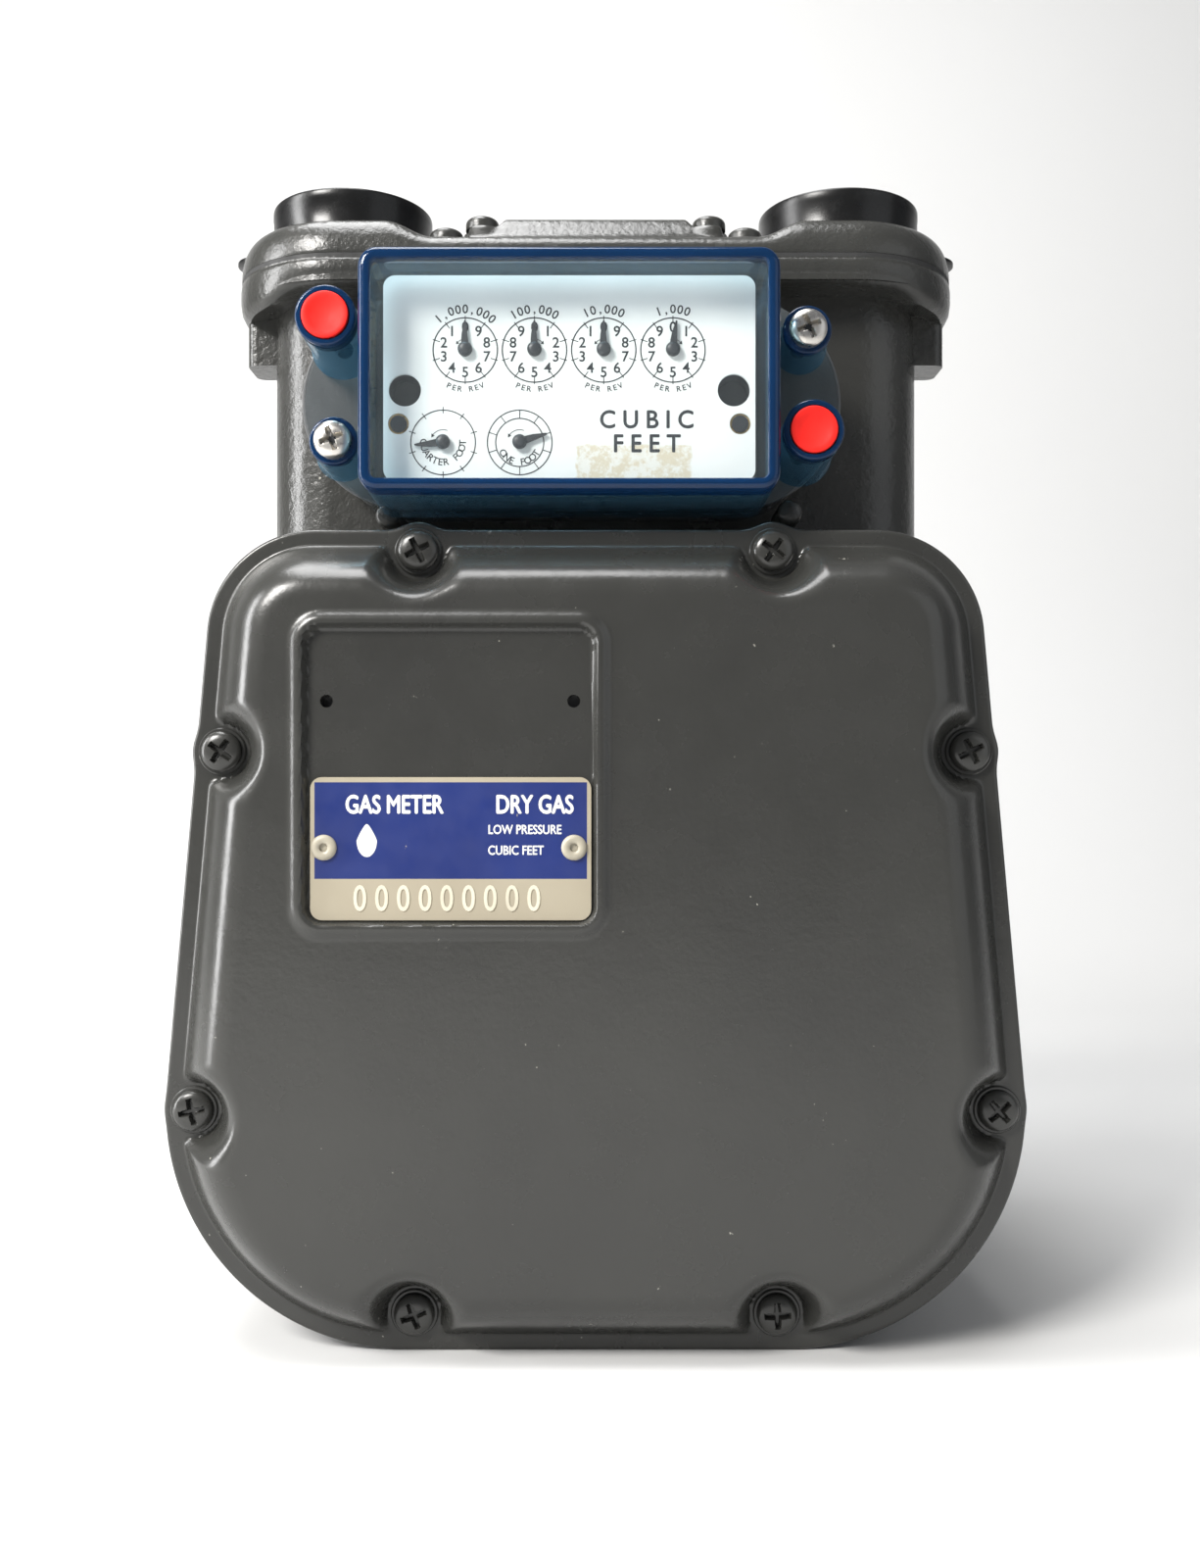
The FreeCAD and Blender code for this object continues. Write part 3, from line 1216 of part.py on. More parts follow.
def check_and_write():
    """Every object must be sound before anything is written."""
    doc.recompute()
    faults = [item.Name for item in doc.Objects if {"Invalid", "Error"} & set(item.State)]
    for piece in nodes:
        if piece.Shape.isNull() or not piece.Shape.isValid() or not piece.Shape.Solids:
            faults.append(f"{piece.Label} has no valid solid")
    if faults:
        raise RuntimeError(", ".join(faults))
    os.makedirs("parts", exist_ok=True)
    for piece in nodes:
        piece.Shape.exportStep(f"parts/{piece.Label}.step")
    print(len(nodes), "pieces written")


make_case()
make_badge()
make_top()
make_index()
make_crank()
make_index_drive()
make_crank_bridge()
make_linkage()
make_valves()
make_outlet_duct()
check_and_write()
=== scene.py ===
import math
import random

import bmesh
import bpy
import numpy as np
from mathutils import Matrix, Vector


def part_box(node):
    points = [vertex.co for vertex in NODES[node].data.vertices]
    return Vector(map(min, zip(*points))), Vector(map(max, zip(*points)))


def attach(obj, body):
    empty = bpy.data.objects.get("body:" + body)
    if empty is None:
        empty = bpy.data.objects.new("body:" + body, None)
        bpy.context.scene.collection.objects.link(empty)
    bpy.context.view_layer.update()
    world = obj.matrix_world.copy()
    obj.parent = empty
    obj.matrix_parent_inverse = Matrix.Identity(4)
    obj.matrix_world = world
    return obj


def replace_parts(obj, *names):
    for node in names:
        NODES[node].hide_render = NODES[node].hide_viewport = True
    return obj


# A domestic gas meter. The CAD frame gives every place; the cast and moulded skins that the
# CAD keeps plain are modelled here as smooth meshes. Sizes below are in millimetres and MM
# turns them into metres.

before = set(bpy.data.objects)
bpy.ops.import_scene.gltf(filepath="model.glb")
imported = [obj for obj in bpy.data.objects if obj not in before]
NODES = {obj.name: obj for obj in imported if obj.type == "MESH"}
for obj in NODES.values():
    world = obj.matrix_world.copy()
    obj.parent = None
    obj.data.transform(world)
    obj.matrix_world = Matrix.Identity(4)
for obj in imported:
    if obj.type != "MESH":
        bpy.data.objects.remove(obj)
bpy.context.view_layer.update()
MM = 0.001
ROOT = "meter"
TAU = 2 * math.pi


# ---------------------------------------------------------------- node helpers


class Surface:
    """One Principled material and short calls for the nodes that feed it."""

    def __init__(self, name, color=(0.5, 0.5, 0.5), **sockets):
        self.material = bpy.data.materials.new(name)
        self.material.use_nodes = True
        self.tree = self.material.node_tree
        self.shader = self.tree.nodes["Principled BSDF"]
        self.output = self.tree.nodes["Material Output"]
        self.shader.inputs["Base Color"].default_value = (*color, 1)
        for socket, value in sockets.items():
            self.shader.inputs[socket.replace("_", " ")].default_value = value
        self.place = self.node("ShaderNodeTexCoord").outputs["Object"]

    def node(self, kind, **settings):
        made = self.tree.nodes.new(kind)
        for name, value in settings.items():
            setattr(made, name, value)
        return made

    def link(self, source, target):
        self.tree.links.new(source, target)

    def feed(self, node, index, value):
        """A socket takes another node's output or a plain value."""
        if isinstance(value, bpy.types.NodeSocket):
            self.link(value, node.inputs[index])
        else:
            node.inputs[index].default_value = value

    def noise(self, scale, detail=2.0, rough=0.5):
        """Noise from 0 to 1, with a scale in features per metre."""
        made = self.node("ShaderNodeTexNoise")
        self.link(self.place, made.inputs["Vector"])
        made.inputs["Scale"].default_value = scale
        made.inputs["Detail"].default_value = detail
        made.inputs["Roughness"].default_value = rough
        return made.outputs["Fac"]

    def ramp(self, value, low, high, start=0.0, end=1.0):
        """Maps low..high to start..end, held at both ends."""
        made = self.node("ShaderNodeMapRange")
        self.feed(made, 0, value)
        for index, number in enumerate((low, high, start, end), start=1):
            made.inputs[index].default_value = number
        return made.outputs[0]

    def math(self, kind, first, second=0.0):
        made = self.node("ShaderNodeMath", operation=kind)
        self.feed(made, 0, first)
        self.feed(made, 1, second)
        return made.outputs[0]

    def axis(self, name):
        made = self.node("ShaderNodeSeparateXYZ")
        self.link(self.place, made.inputs[0])
        return made.outputs[name]

    def mix(self, amount, first, second):
        """A blend of two colours."""
        made = self.node("ShaderNodeMix", data_type="RGBA")
        self.feed(made, "Factor", amount)
        for socket, value in ((6, first), (7, second)):
            if isinstance(value, bpy.types.NodeSocket):
                self.link(value, made.inputs[socket])
            else:
                made.inputs[socket].default_value = (*value, 1)
        return made.outputs[2]

    def bump(self, height, depth, strength=1.0, below=None):
        """A bump of that depth in metres, laid over another."""
        made = self.node("ShaderNodeBump")
        made.inputs["Strength"].default_value = strength
        made.inputs["Distance"].default_value = depth
        self.link(height, made.inputs["Height"])
        if below is not None:
            self.link(below, made.inputs["Normal"])
        return made.outputs[0]

    def set(self, socket, source):
        self.link(source, self.shader.inputs[socket])


# ---------------------------------------------------------------- materials


PAINT_LIGHT = (0.033, 0.033, 0.030)
PAINT_DARK = (0.027, 0.027, 0.025)
PRIMER = (0.34, 0.33, 0.29)


def make_paint(name, grain, grain_depth):
    """Grey enamel with orange peel, faint mottling and a few small chips."""
    paint = Surface(name, PAINT_LIGHT, Specular_IOR_Level=0.5)
    cloud = paint.ramp(paint.noise(18, 4), 0.3, 0.7)
    base = paint.mix(cloud, PAINT_DARK, PAINT_LIGHT)
    speck = paint.ramp(paint.noise(520, 2), 0.735, 0.76)
    rare = paint.ramp(paint.noise(45, 1), 0.60, 0.66)
    chips = paint.math("MULTIPLY", speck, rare)
    paint.set("Base Color", paint.mix(chips, base, PRIMER))
    smear = paint.noise(60, 5, 0.6)
    paint.set("Roughness", paint.ramp(smear, 0.25, 0.75, 0.20, 0.32))
    peel = paint.bump(paint.noise(700, 2), 0.00006, 0.6)
    coarse = paint.bump(paint.noise(grain, 4, 0.6), grain_depth, 0.8, peel)
    paint.set("Normal", coarse)
    return paint.material


def make_black_plastic():
    """Satin black moulding with faint scuffs round it."""
    plastic = Surface("cap_black", (0.012, 0.012, 0.013), Specular_IOR_Level=0.35)
    scuff = plastic.ramp(plastic.noise(240, 5, 0.65), 0.55, 0.75)
    plastic.set("Base Color", plastic.mix(scuff, (0.006, 0.006, 0.006), (0.015, 0.015, 0.015)))
    plastic.set("Roughness", plastic.ramp(plastic.noise(90, 4), 0.3, 0.7, 0.20, 0.32))
    plastic.set("Normal", plastic.bump(plastic.noise(1500, 2), 0.00003, 0.5))
    return plastic.material


def make_red_plastic():
    red = Surface("plug_red", (0.80, 0.025, 0.016), Specular_IOR_Level=0.2)
    tint = red.ramp(red.noise(160, 3), 0.3, 0.7)
    red.set("Base Color", red.mix(tint, (0.70, 0.014, 0.010), (0.84, 0.020, 0.014)))
    red.set("Roughness", red.ramp(red.noise(300, 3), 0.3, 0.7, 0.45, 0.62))
    red.set("Normal", red.bump(red.noise(900, 3), 0.00005, 0.6))
    return red.material


def make_clear(name, color, tint, solid, rough):
    """Clear moulding: a see-through tint under a polished skin that hides a share of it."""
    clear = Surface(name, color, IOR=1.5)
    streak = clear.ramp(clear.noise(35, 3), 0.3, 0.7)
    deeper = tuple(channel * 0.8 for channel in color)
    clear.set("Base Color", clear.mix(streak, deeper, color))
    clear.set("Roughness", clear.ramp(clear.noise(150, 4), 0.3, 0.7, rough, rough + 0.06))
    clear.set("Normal", clear.bump(clear.noise(60, 3), 0.0002, 0.35))
    see = clear.node("ShaderNodeBsdfTransparent")
    see.inputs["Color"].default_value = (*tint, 1)
    facing = clear.node("ShaderNodeLayerWeight")
    facing.inputs["Blend"].default_value = 0.5
    glance = clear.math("POWER", facing.outputs["Facing"], 5.0)
    share = clear.math("ADD", clear.math("MULTIPLY", glance, 0.9), solid + 0.04)
    both = clear.node("ShaderNodeMixShader")
    clear.feed(both, 0, clear.math("MINIMUM", share, 1.0))
    clear.link(see.outputs[0], both.inputs[1])
    clear.link(clear.shader.outputs[0], both.inputs[2])
    clear.link(both.outputs[0], clear.output.inputs["Surface"])
    return clear.material


def make_metal(name, color, rough=(0.22, 0.42), grain=500):
    """Bare metal with fine wear."""
    metal = Surface(name, color, Metallic=1.0)
    stain = metal.ramp(metal.noise(120, 4), 0.3, 0.7)
    darker = tuple(channel * 0.75 for channel in color)
    metal.set("Base Color", metal.mix(stain, darker, color))
    metal.set("Roughness", metal.ramp(metal.noise(grain, 4), 0.3, 0.7, *rough))
    metal.set("Normal", metal.bump(metal.noise(grain * 3, 2), 0.00002, 0.5))
    return metal.material


def make_plain(name, color, rough=(0.4, 0.6), grain=400, depth=0.00004):
    """A matte moulding, rubber or fibre with slight variation."""
    plain = Surface(name, color)
    blotch = plain.ramp(plain.noise(90, 4), 0.3, 0.7)
    darker = tuple(channel * 0.78 for channel in color)
    plain.set("Base Color", plain.mix(blotch, darker, color))
    plain.set("Roughness", plain.ramp(plain.noise(grain, 3), 0.3, 0.7, *rough))
    plain.set("Normal", plain.bump(plain.noise(grain * 2, 3), depth, 0.6))
    return plain.material


def boxed(surface, x_low, x_high, z_low, z_high, soft, wobble=0.0):
    """A mask of 1 inside a rectangle seen from the front, with soft or ragged edges."""
    across = surface.axis("X")
    up = surface.axis("Z")
    if wobble:
        ragged = surface.ramp(surface.noise(240, 5, 0.7), 0.2, 0.8, -wobble, wobble)
        across = surface.math("ADD", across, ragged)
        up = surface.math("ADD", up, ragged)
    sides = [
        surface.ramp(across, x_low - soft, x_low + soft),
        surface.ramp(across, x_high - soft, x_high + soft, 1, 0),
        surface.ramp(up, z_low - soft, z_low + soft),
        surface.ramp(up, z_high - soft, z_high + soft, 1, 0),
    ]
    mask = sides[0]
    for side in sides[1:]:
        mask = surface.math("MULTIPLY", mask, side)
    return mask


def make_floor():
    """Plain pale paper with the slightest unevenness."""
    floor = Surface("floor_pale", (0.62, 0.62, 0.61), Roughness=0.85)
    cloud = floor.ramp(floor.noise(1.2, 2), 0.3, 0.7)
    floor.set("Base Color", floor.mix(cloud, (0.60, 0.60, 0.595), (0.63, 0.63, 0.625)))
    return floor.material


DIAL_WHITE = (0.78, 0.80, 0.78)
TAPE = (0.58, 0.51, 0.36)


def make_dial_white():
    """White enamelled dial plate with the yellowed trace of an old sticker."""
    low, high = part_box("dial_plate")
    dial = Surface("dial_white", DIAL_WHITE, Specular_IOR_Level=0.35)
    mottle = dial.ramp(dial.noise(60, 4), 0.3, 0.7)
    base = dial.mix(mottle, (0.73, 0.76, 0.74), DIAL_WHITE)
    middle = (low[0] + high[0]) / 2
    left = middle + 2.0 * MM
    right = middle + 32.5 * MM
    patch = boxed(dial, left, right, low[2] + 0.3 * MM, low[2] + 9.6 * MM, 0.3 * MM, 0.9 * MM)
    torn = dial.ramp(dial.noise(330, 6, 0.75), 0.42, 0.56)
    old = dial.math("MULTIPLY", patch, dial.math("MULTIPLY", torn, 0.85))
    film = dial.math("MAXIMUM", old, dial.math("MULTIPLY", patch, 0.25))
    dial.set("Base Color", dial.mix(film, base, TAPE))
    dial.set("Roughness", dial.ramp(dial.noise(200, 3), 0.3, 0.7, 0.38, 0.5))
    dial.set("Normal", dial.bump(dial.noise(500, 3), 0.00003, 0.5))
    return dial.material


BADGE_BLUE = (0.008, 0.022, 0.14)
BADGE_CREAM = (0.36, 0.32, 0.24)


def make_badge():
    """Printed aluminium badge: a blue field above a bare cream strip, with a cream border."""
    low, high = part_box("badge_plate")
    badge = Surface("badge_print", BADGE_CREAM, Specular_IOR_Level=0.5)
    field = boxed(
        badge, low[0] + 1.1 * MM, high[0] - 1.1 * MM, low[2] + 10.6 * MM, high[2] - 1.3 * MM, 0.06 * MM
    )
    worn = badge.ramp(badge.noise(420, 5, 0.7), 0.70, 0.74)
    inked = badge.math("MULTIPLY", field, badge.math("SUBTRACT", 1.0, worn))
    tone = badge.ramp(badge.noise(50, 4), 0.3, 0.7)
    blue = badge.mix(tone, (0.006, 0.017, 0.115), BADGE_BLUE)
    cream = badge.mix(tone, (0.33, 0.29, 0.215), BADGE_CREAM)
    badge.set("Base Color", badge.mix(inked, cream, blue))
    badge.set("Roughness", badge.ramp(badge.noise(160, 4), 0.3, 0.7, 0.3, 0.46))
    badge.set("Normal", badge.bump(badge.noise(260, 4), 0.00006, 0.6))
    return badge.material


COVER_PAINT = make_paint("paint_cover", 120, 0.00012)
CAST_PAINT = make_paint("paint_casting", 420, 0.00030)
CAP_BLACK = make_black_plastic()
PLUG_RED = make_red_plastic()
BOX_RIM = make_clear("box_rim", (0.004, 0.030, 0.095), (0.06, 0.26, 0.52), 0.62, 0.06)
BOX_WALL = make_clear("box_wall", (0.060, 0.150, 0.230), (0.72, 0.87, 0.94), 0.12, 0.05)
BOX_FLANGE = make_clear("box_flange", (0.08, 0.09, 0.10), (0.95, 0.965, 0.97), 0.0, 0.06)
PANE_CLEAR = make_clear("box_pane", (0.80, 0.90, 0.95), (0.985, 0.993, 0.995), -0.02, 0.03)
STAINLESS = make_metal("stainless", (0.74, 0.71, 0.66))
BRASS = make_metal("brass", (0.78, 0.56, 0.26))
ZINC = make_metal("zinc", (0.55, 0.56, 0.58), (0.35, 0.55))
INK = make_plain("ink_black", (0.012, 0.014, 0.018))
DIAL_WHITE_PAINT = make_dial_white()
BADGE_PRINT = make_badge()
BADGE_INK = make_plain("badge_white", (0.80, 0.80, 0.78), (0.35, 0.5))
# painted highlight: the stamped badge digits coloured lighter than the cream strip, for their lit faces
BADGE_PAINTED_HIGHLIGHT = make_plain("badge_stamp_painted_highlight", (0.66, 0.61, 0.48), (0.3, 0.45))
# painted shadow: a dark copy of the stamped badge digits, set down and to the right behind them
BADGE_SHADE = make_plain("badge_stamp_shade", (0.22, 0.19, 0.13), (0.4, 0.6))
RIVET_CREAM = make_plain("rivet_cream", (0.40, 0.365, 0.285), (0.3, 0.45))
POINTER_BLACK = make_plain("pointer_black", (0.022, 0.024, 0.027), (0.35, 0.5))
GEAR_WHITE = make_plain("gear_white", (0.62, 0.62, 0.56))
GASKET = make_plain("gasket_rubber", (0.022, 0.022, 0.022), (0.6, 0.8))
FIBRE = make_plain("diaphragm_fibre", (0.22, 0.15, 0.09), (0.6, 0.8), 300, 0.0001)
PHENOLIC = make_plain("valve_phenolic", (0.03, 0.03, 0.032), (0.3, 0.5))
BASE_GREY = make_plain("base_grey", (0.085, 0.088, 0.090), (0.4, 0.6), 500, 0.0001)
FLOOR = make_floor()


# ---------------------------------------------------------------- mesh helpers


def add_piece(name, mesh, material, body=ROOT, smooth=True):
    """A mesh object in the row frame that rides on a body."""
    piece = bpy.data.objects.new(name, mesh)
    bpy.context.scene.collection.objects.link(piece)
    mesh.materials.clear()
    mesh.materials.append(material)
    if smooth:
        for face in mesh.polygons:
            face.use_smooth = True
        mesh.set_sharp_from_angle(angle=math.radians(40))
    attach(piece, body)
    return piece


def grid_mesh(name, rows, wrap=True, cap_start=False, cap_end=False):
    """A mesh from equal rows of points; wrap joins each row's ends."""
    rows = np.asarray(rows, dtype=float)
    count, width = rows.shape[:2]
    faces = []
    last = width if wrap else width - 1
    for row in range(count - 1):
        for column in range(last):
            after = (column + 1) % width
            a = row * width
            faces.append((a + column, a + after, a + width + after, a + width + column))
    if cap_start:
        faces.append(tuple(range(width - 1, -1, -1)))
    if cap_end:
        faces.append(tuple(range((count - 1) * width, count * width)))
    mesh = bpy.data.meshes.new(name)
    mesh.from_pydata([tuple(p) for p in rows.reshape(-1, 3)], [], faces)
    tidy_mesh(mesh)
    return mesh


def tidy_mesh(mesh, weld=1e-7):
    """Merges doubled points and turns all faces outward."""
    work = bmesh.new()
    work.from_mesh(mesh)
    bmesh.ops.remove_doubles(work, verts=work.verts, dist=weld)
    bmesh.ops.recalc_face_normals(work, faces=work.faces)
    work.to_mesh(mesh)
    work.free()
    mesh.update()


def joined_mesh(name, meshes):
    """Several meshes in one, their data dropped."""
    work = bmesh.new()
    for mesh in meshes:
        work.from_mesh(mesh)
        bpy.data.meshes.remove(mesh)
    whole = bpy.data.meshes.new(name)
    work.to_mesh(whole)
    work.free()
    return whole


def lathe(name, profile, centre, axis, steps=96):
    """A solid turned about an axis from (radius, height) pairs in millimetres."""
    turn = Vector((0, 0, 1)).rotation_difference(Vector(axis)).to_matrix()
    rows = []
    for radius, height in profile:
        ring = []
        for step in range(steps):
            angle = TAU * step / steps
            local = Vector((radius * math.cos(angle), radius * math.sin(angle), height)) * MM
            ring.append(turn @ local + Vector(centre))
        rows.append(ring)
    return grid_mesh(name, rows, cap_start=profile[0][0] > 0.001, cap_end=profile[-1][0] > 0.001)


def rounded_corner(radius_out, height, round_by, steps=6):
    """Profile points over a rounded outer edge, from the side up onto the top."""
    points = []
    for step in range(steps + 1):
        angle = math.pi / 2 * step / steps
        points.append((
            radius_out - round_by + round_by * math.cos(angle),
            height - round_by + round_by * math.sin(angle),
        ))
    return points


def smooth_step(value):
    held = np.clip(value, 0.0, 1.0)
    return held ** 3 * (held * (6 * held - 15) + 10)


def soft_min(first, second, reach):
    """The smaller of two, blended where they are nearly equal."""
    blend = np.clip(0.5 + 0.5 * (second - first) / reach, 0.0, 1.0)
    return second * (1 - blend) + first * blend - reach * blend * (1 - blend)


# ---------------------------------------------------------------- covers


# Corner circles of the cover's outline: x, z and radius, counter-clockwise from below left.
CORNERS = [(-50.4, 64.0, 64.0), (50.4, 64.0, 64.0), (74.5, 189.0, 29.0), (-74.5, 189.0, 29.0)]
COVER_SCREWS = [(x * side, z) for x, z in ((47, 212), (99, 159), (106.5, 64), (48, 10.2)) for side in (-1, 1)]
LUGGED = 6
RIM_BACK = 69.0
RIM_FACE = 72.0
DOME_FACE = 87.0
RIM_WIDE = 4.2
RIM_ROUND = 0.9
RIM_ROWS = 7
WALL_STEP = 0.42
COVER_CENTRE = (0.0, 112.0)
WALL_WIDE = 16.0
WALL_FOOT = 0.09
WALL_ROLL = 2.5
SCALLOP = 7.2
SCALLOP_STEEP = 1.75
LUG_RADIUS = 8.4
OFFSET_LIMIT = 24.0
RECESS = (-74.0, -0.5, 115.0, 190.2)
RECESS_CORNER = 4.0
PANEL_DROP = 1.5
RIDGE_RISE = 1.15
BACK_PANEL = (-40, 40, 72, 152)
SPARE_HOLES = [(-69.0, 171.5), (-5.6, 171.5)]
SPARE_RADIUS = 1.65


def outline_points(count):
    """Points and outward normals round the cover's outline, evenly spaced."""
    pieces = []
    for index, (x1, z1, r1) in enumerate(CORNERS):
        x2, z2, r2 = CORNERS[(index + 1) % 4]
        apart = math.hypot(x2 - x1, z2 - z1)
        out = math.atan2(z2 - z1, x2 - x1) - math.acos((r1 - r2) / apart)
        pieces.append(out)
    path = []
    normals = []
    for index, (x, z, radius) in enumerate(CORNERS):
        begin = pieces[index - 1]
        stop = pieces[index]
        while stop < begin:
            stop += TAU
        for step in range(65):
            angle = begin + (stop - begin) * step / 64
            normals.append((math.cos(angle), math.sin(angle)))
            path.append((x + radius * math.cos(angle), z + radius * math.sin(angle)))
    path = np.array(path + path[:1])
    normals = np.array(normals + normals[:1])
    run = np.concatenate([[0], np.cumsum(np.linalg.norm(np.diff(path, axis=0), axis=1))])
    want = np.linspace(0, run[-1], count, endpoint=False)
    points = np.stack([np.interp(want, run, path[:, k]) for k in (0, 1)], axis=1)
    facing = np.stack([np.interp(want, run, normals[:, k]) for k in (0, 1)], axis=1)
    return points, facing / np.linalg.norm(facing, axis=1, keepdims=True)


def rectangle_distance(x, z, bounds, corner):
    """Signed distance to a rounded rectangle, negative inside."""
    left, right, low, high = bounds
    across = np.abs(x - (left + right) / 2) - (right - left) / 2 + corner
    up = np.abs(z - (low + high) / 2) - (high - low) / 2 + corner
    outside = np.hypot(np.maximum(across, 0), np.maximum(up, 0))
    return outside + np.minimum(np.maximum(across, up), 0) - corner


def dome_height(x, z, depth_in):
    """How far the cover stands off its rim face at each point."""
    reach = depth_in
    for screw_x, screw_z in COVER_SCREWS:
        away = (np.hypot(x - screw_x, z - screw_z) - SCALLOP) * SCALLOP_STEEP + RIM_WIDE
        reach = soft_min(reach, away, 5.0)
    run = np.clip((reach - RIM_WIDE) / WALL_WIDE, 0, 1)
    run = run * run * (1 + WALL_FOOT) / (run + WALL_FOOT)
    return (DOME_FACE - RIM_FACE) * (1 - (1 - run) ** WALL_ROLL)


def recess_height(x, z):
    """The badge recess: a raised ridge round a sunk panel."""
    away = rectangle_distance(x, z, RECESS, RECESS_CORNER)
    up = smooth_step((away + 0.5) / 1.7)
    down = smooth_step((away - 1.7) / 3.4)
    return -PANEL_DROP + (PANEL_DROP + RIDGE_RISE) * up - RIDGE_RISE * down


def make_cover(name, sign, with_recess, around, across):
    """One pressed cover as a closed mesh; sign is -1 for the front and 1 for the back."""
    points, facing = outline_points(around)
    bulge = np.zeros(around)
    for screw_x, screw_z in COVER_SCREWS[:LUGGED]:
        offset = points - np.array([screw_x, screw_z])
        along = np.einsum("ij,ij->i", offset, facing)
        gap = along ** 2 - (np.einsum("ij,ij->i", offset, offset) - LUG_RADIUS ** 2)
        reach = np.where(gap > 0, -along + np.sqrt(np.maximum(gap, 0)), 0)
        bulge = np.maximum(bulge, np.where(np.linalg.norm(offset, axis=1) < 14, reach, 0))
    kernel = np.hanning(15)
    bulge = np.convolve(np.tile(bulge, 3), kernel / kernel.sum(), "same")[around:2 * around]
    centre = np.array(COVER_CENTRE)
    rows = []

    def ring(depth_in, height):
        spread = bulge * max(0.0, 1 - depth_in / 5.0)
        flat = points + facing * (spread - depth_in)[:, None]
        y = np.full(around, sign * (RIM_FACE + height))
        return np.stack([flat[:, 0], y, flat[:, 1]], axis=1)

    rows.append(ring(3.0, RIM_BACK - RIM_FACE))
    rows.append(ring(0.5, RIM_BACK - RIM_FACE))
    rows.append(ring(0.0, RIM_BACK - RIM_FACE + 0.5))
    rows.append(ring(0.0, -RIM_ROUND))
    for angle in (30, 60, 90):
        turn = math.radians(angle)
        rows.append(ring(RIM_ROUND - RIM_ROUND * math.cos(turn), RIM_ROUND * math.sin(turn) - RIM_ROUND))
    for depth_in in np.linspace(1.4, OFFSET_LIMIT, int(OFFSET_LIMIT / WALL_STEP)):
        row = ring(depth_in, 0.0)
        row[:, 1] = sign * (RIM_FACE + dome_height(row[:, 0], row[:, 2], depth_in))
        rows.append(row)
    inner = rows[-1][:, [0, 2]]
    for part in np.linspace(0, 1, across)[1:-1]:
        flat = inner * (1 - part) + centre * part
        height = dome_height(flat[:, 0], flat[:, 1], OFFSET_LIMIT + part * 60)
        rows.append(np.stack([flat[:, 0], sign * (RIM_FACE + height), flat[:, 1]], axis=1))
    rows = np.array(rows)
    face = rows[RIM_ROWS:]
    if with_recess:
        level = recess_height(face[:, :, 0], face[:, :, 2])
    else:
        away = rectangle_distance(face[:, :, 0], face[:, :, 2], BACK_PANEL, 4)
        level = 1 - smooth_step((away + 1) / 4)
    face[:, :, 1] += sign * level
    return grid_mesh(name, rows * MM, cap_start=True, cap_end=True)


def cut_holes(piece, places, radius, front, depth):
    """Cuts round holes along Y into a mesh with a boolean and applies it."""
    cutters = []
    for x, z in places:
        centre = (x * MM, front * MM, z * MM)
        cutters.append(lathe("cutter", [(radius, -depth), (radius, 2.0)], centre, (0, -1, 0), 40))
    cutter = bpy.data.objects.new("hole_cutter", joined_mesh("hole_cutter", cutters))
    bpy.context.scene.collection.objects.link(cutter)
    modifier = piece.modifiers.new("holes", "BOOLEAN")
    modifier.operation = "DIFFERENCE"
    modifier.object = cutter
    modifier.solver = "EXACT"
    bpy.context.view_layer.update()
    cut = bpy.data.meshes.new_from_object(piece.evaluated_get(bpy.context.evaluated_depsgraph_get()))
    piece.modifiers.clear()
    old = piece.data
    piece.data = cut
    bpy.data.meshes.remove(old)
    bpy.data.objects.remove(cutter)


def make_covers():
    mesh = make_cover("front_cover_skin", -1, True, 1120, 150)
    front = add_piece("front_cover_skin", mesh, COVER_PAINT)
    cut_holes(front, SPARE_HOLES, SPARE_RADIUS, -(DOME_FACE - PANEL_DROP), 6.0)
    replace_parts(front, "front_cover")
    mesh = make_cover("back_cover_skin", 1, False, 640, 60)
    back = add_piece("back_cover_skin", mesh, COVER_PAINT)
    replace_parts(back, "back_cover")


# ---------------------------------------------------------------- screws


def screw_head(radius, tall, place, axis, turn):
    """Pan head with a rounded crown and a tapered crossed recess."""
    steps = 72
    rings = [0.0, 0.06, 0.11, 0.15, 0.19, 0.24, 0.30, 0.36, 0.43, 0.50, 0.56, 0.61, 0.66, 0.72, 0.78]
    rings += [0.84, 0.89, 0.93, 0.96, 0.985, 1.0]
    arm_half = 0.15
    arm_long = 0.62
    to_axis = Vector((0, 0, 1)).rotation_difference(Vector(axis)).to_matrix()
    spin = Matrix.Rotation(turn, 3, "Z")
    rows = []
    for part in reversed(rings):
        ring = []
        for step in range(steps):
            angle = TAU * step / steps
            x = part * math.cos(angle)
            y = part * math.sin(angle)
            crown = tall * (0.45 + 0.55 * max(0.0, 1 - part ** 3.2) ** 0.5)
            inside = []
            for along, beside in ((abs(x), abs(y)), (abs(y), abs(x))):
                taper = arm_half * (1.0 - 0.3 * along / arm_long)
                inside.append(min(taper - beside, arm_long - along))
            sunk = float(smooth_step(np.array(max(inside) / 0.09 + 0.35)))
            ring.append((x * radius, y * radius, crown - sunk * tall * 0.62))
        rows.append(ring)
    turns = [TAU * step / steps for step in range(steps)]
    rows.insert(0, [(radius * math.cos(a), radius * math.sin(a), 0.0) for a in turns])
    turned = []
    for ring in rows:
        turned.append([to_axis @ (spin @ Vector(p)) * MM + Vector(place) for p in ring])
    return grid_mesh("screw_head", turned, cap_start=True)


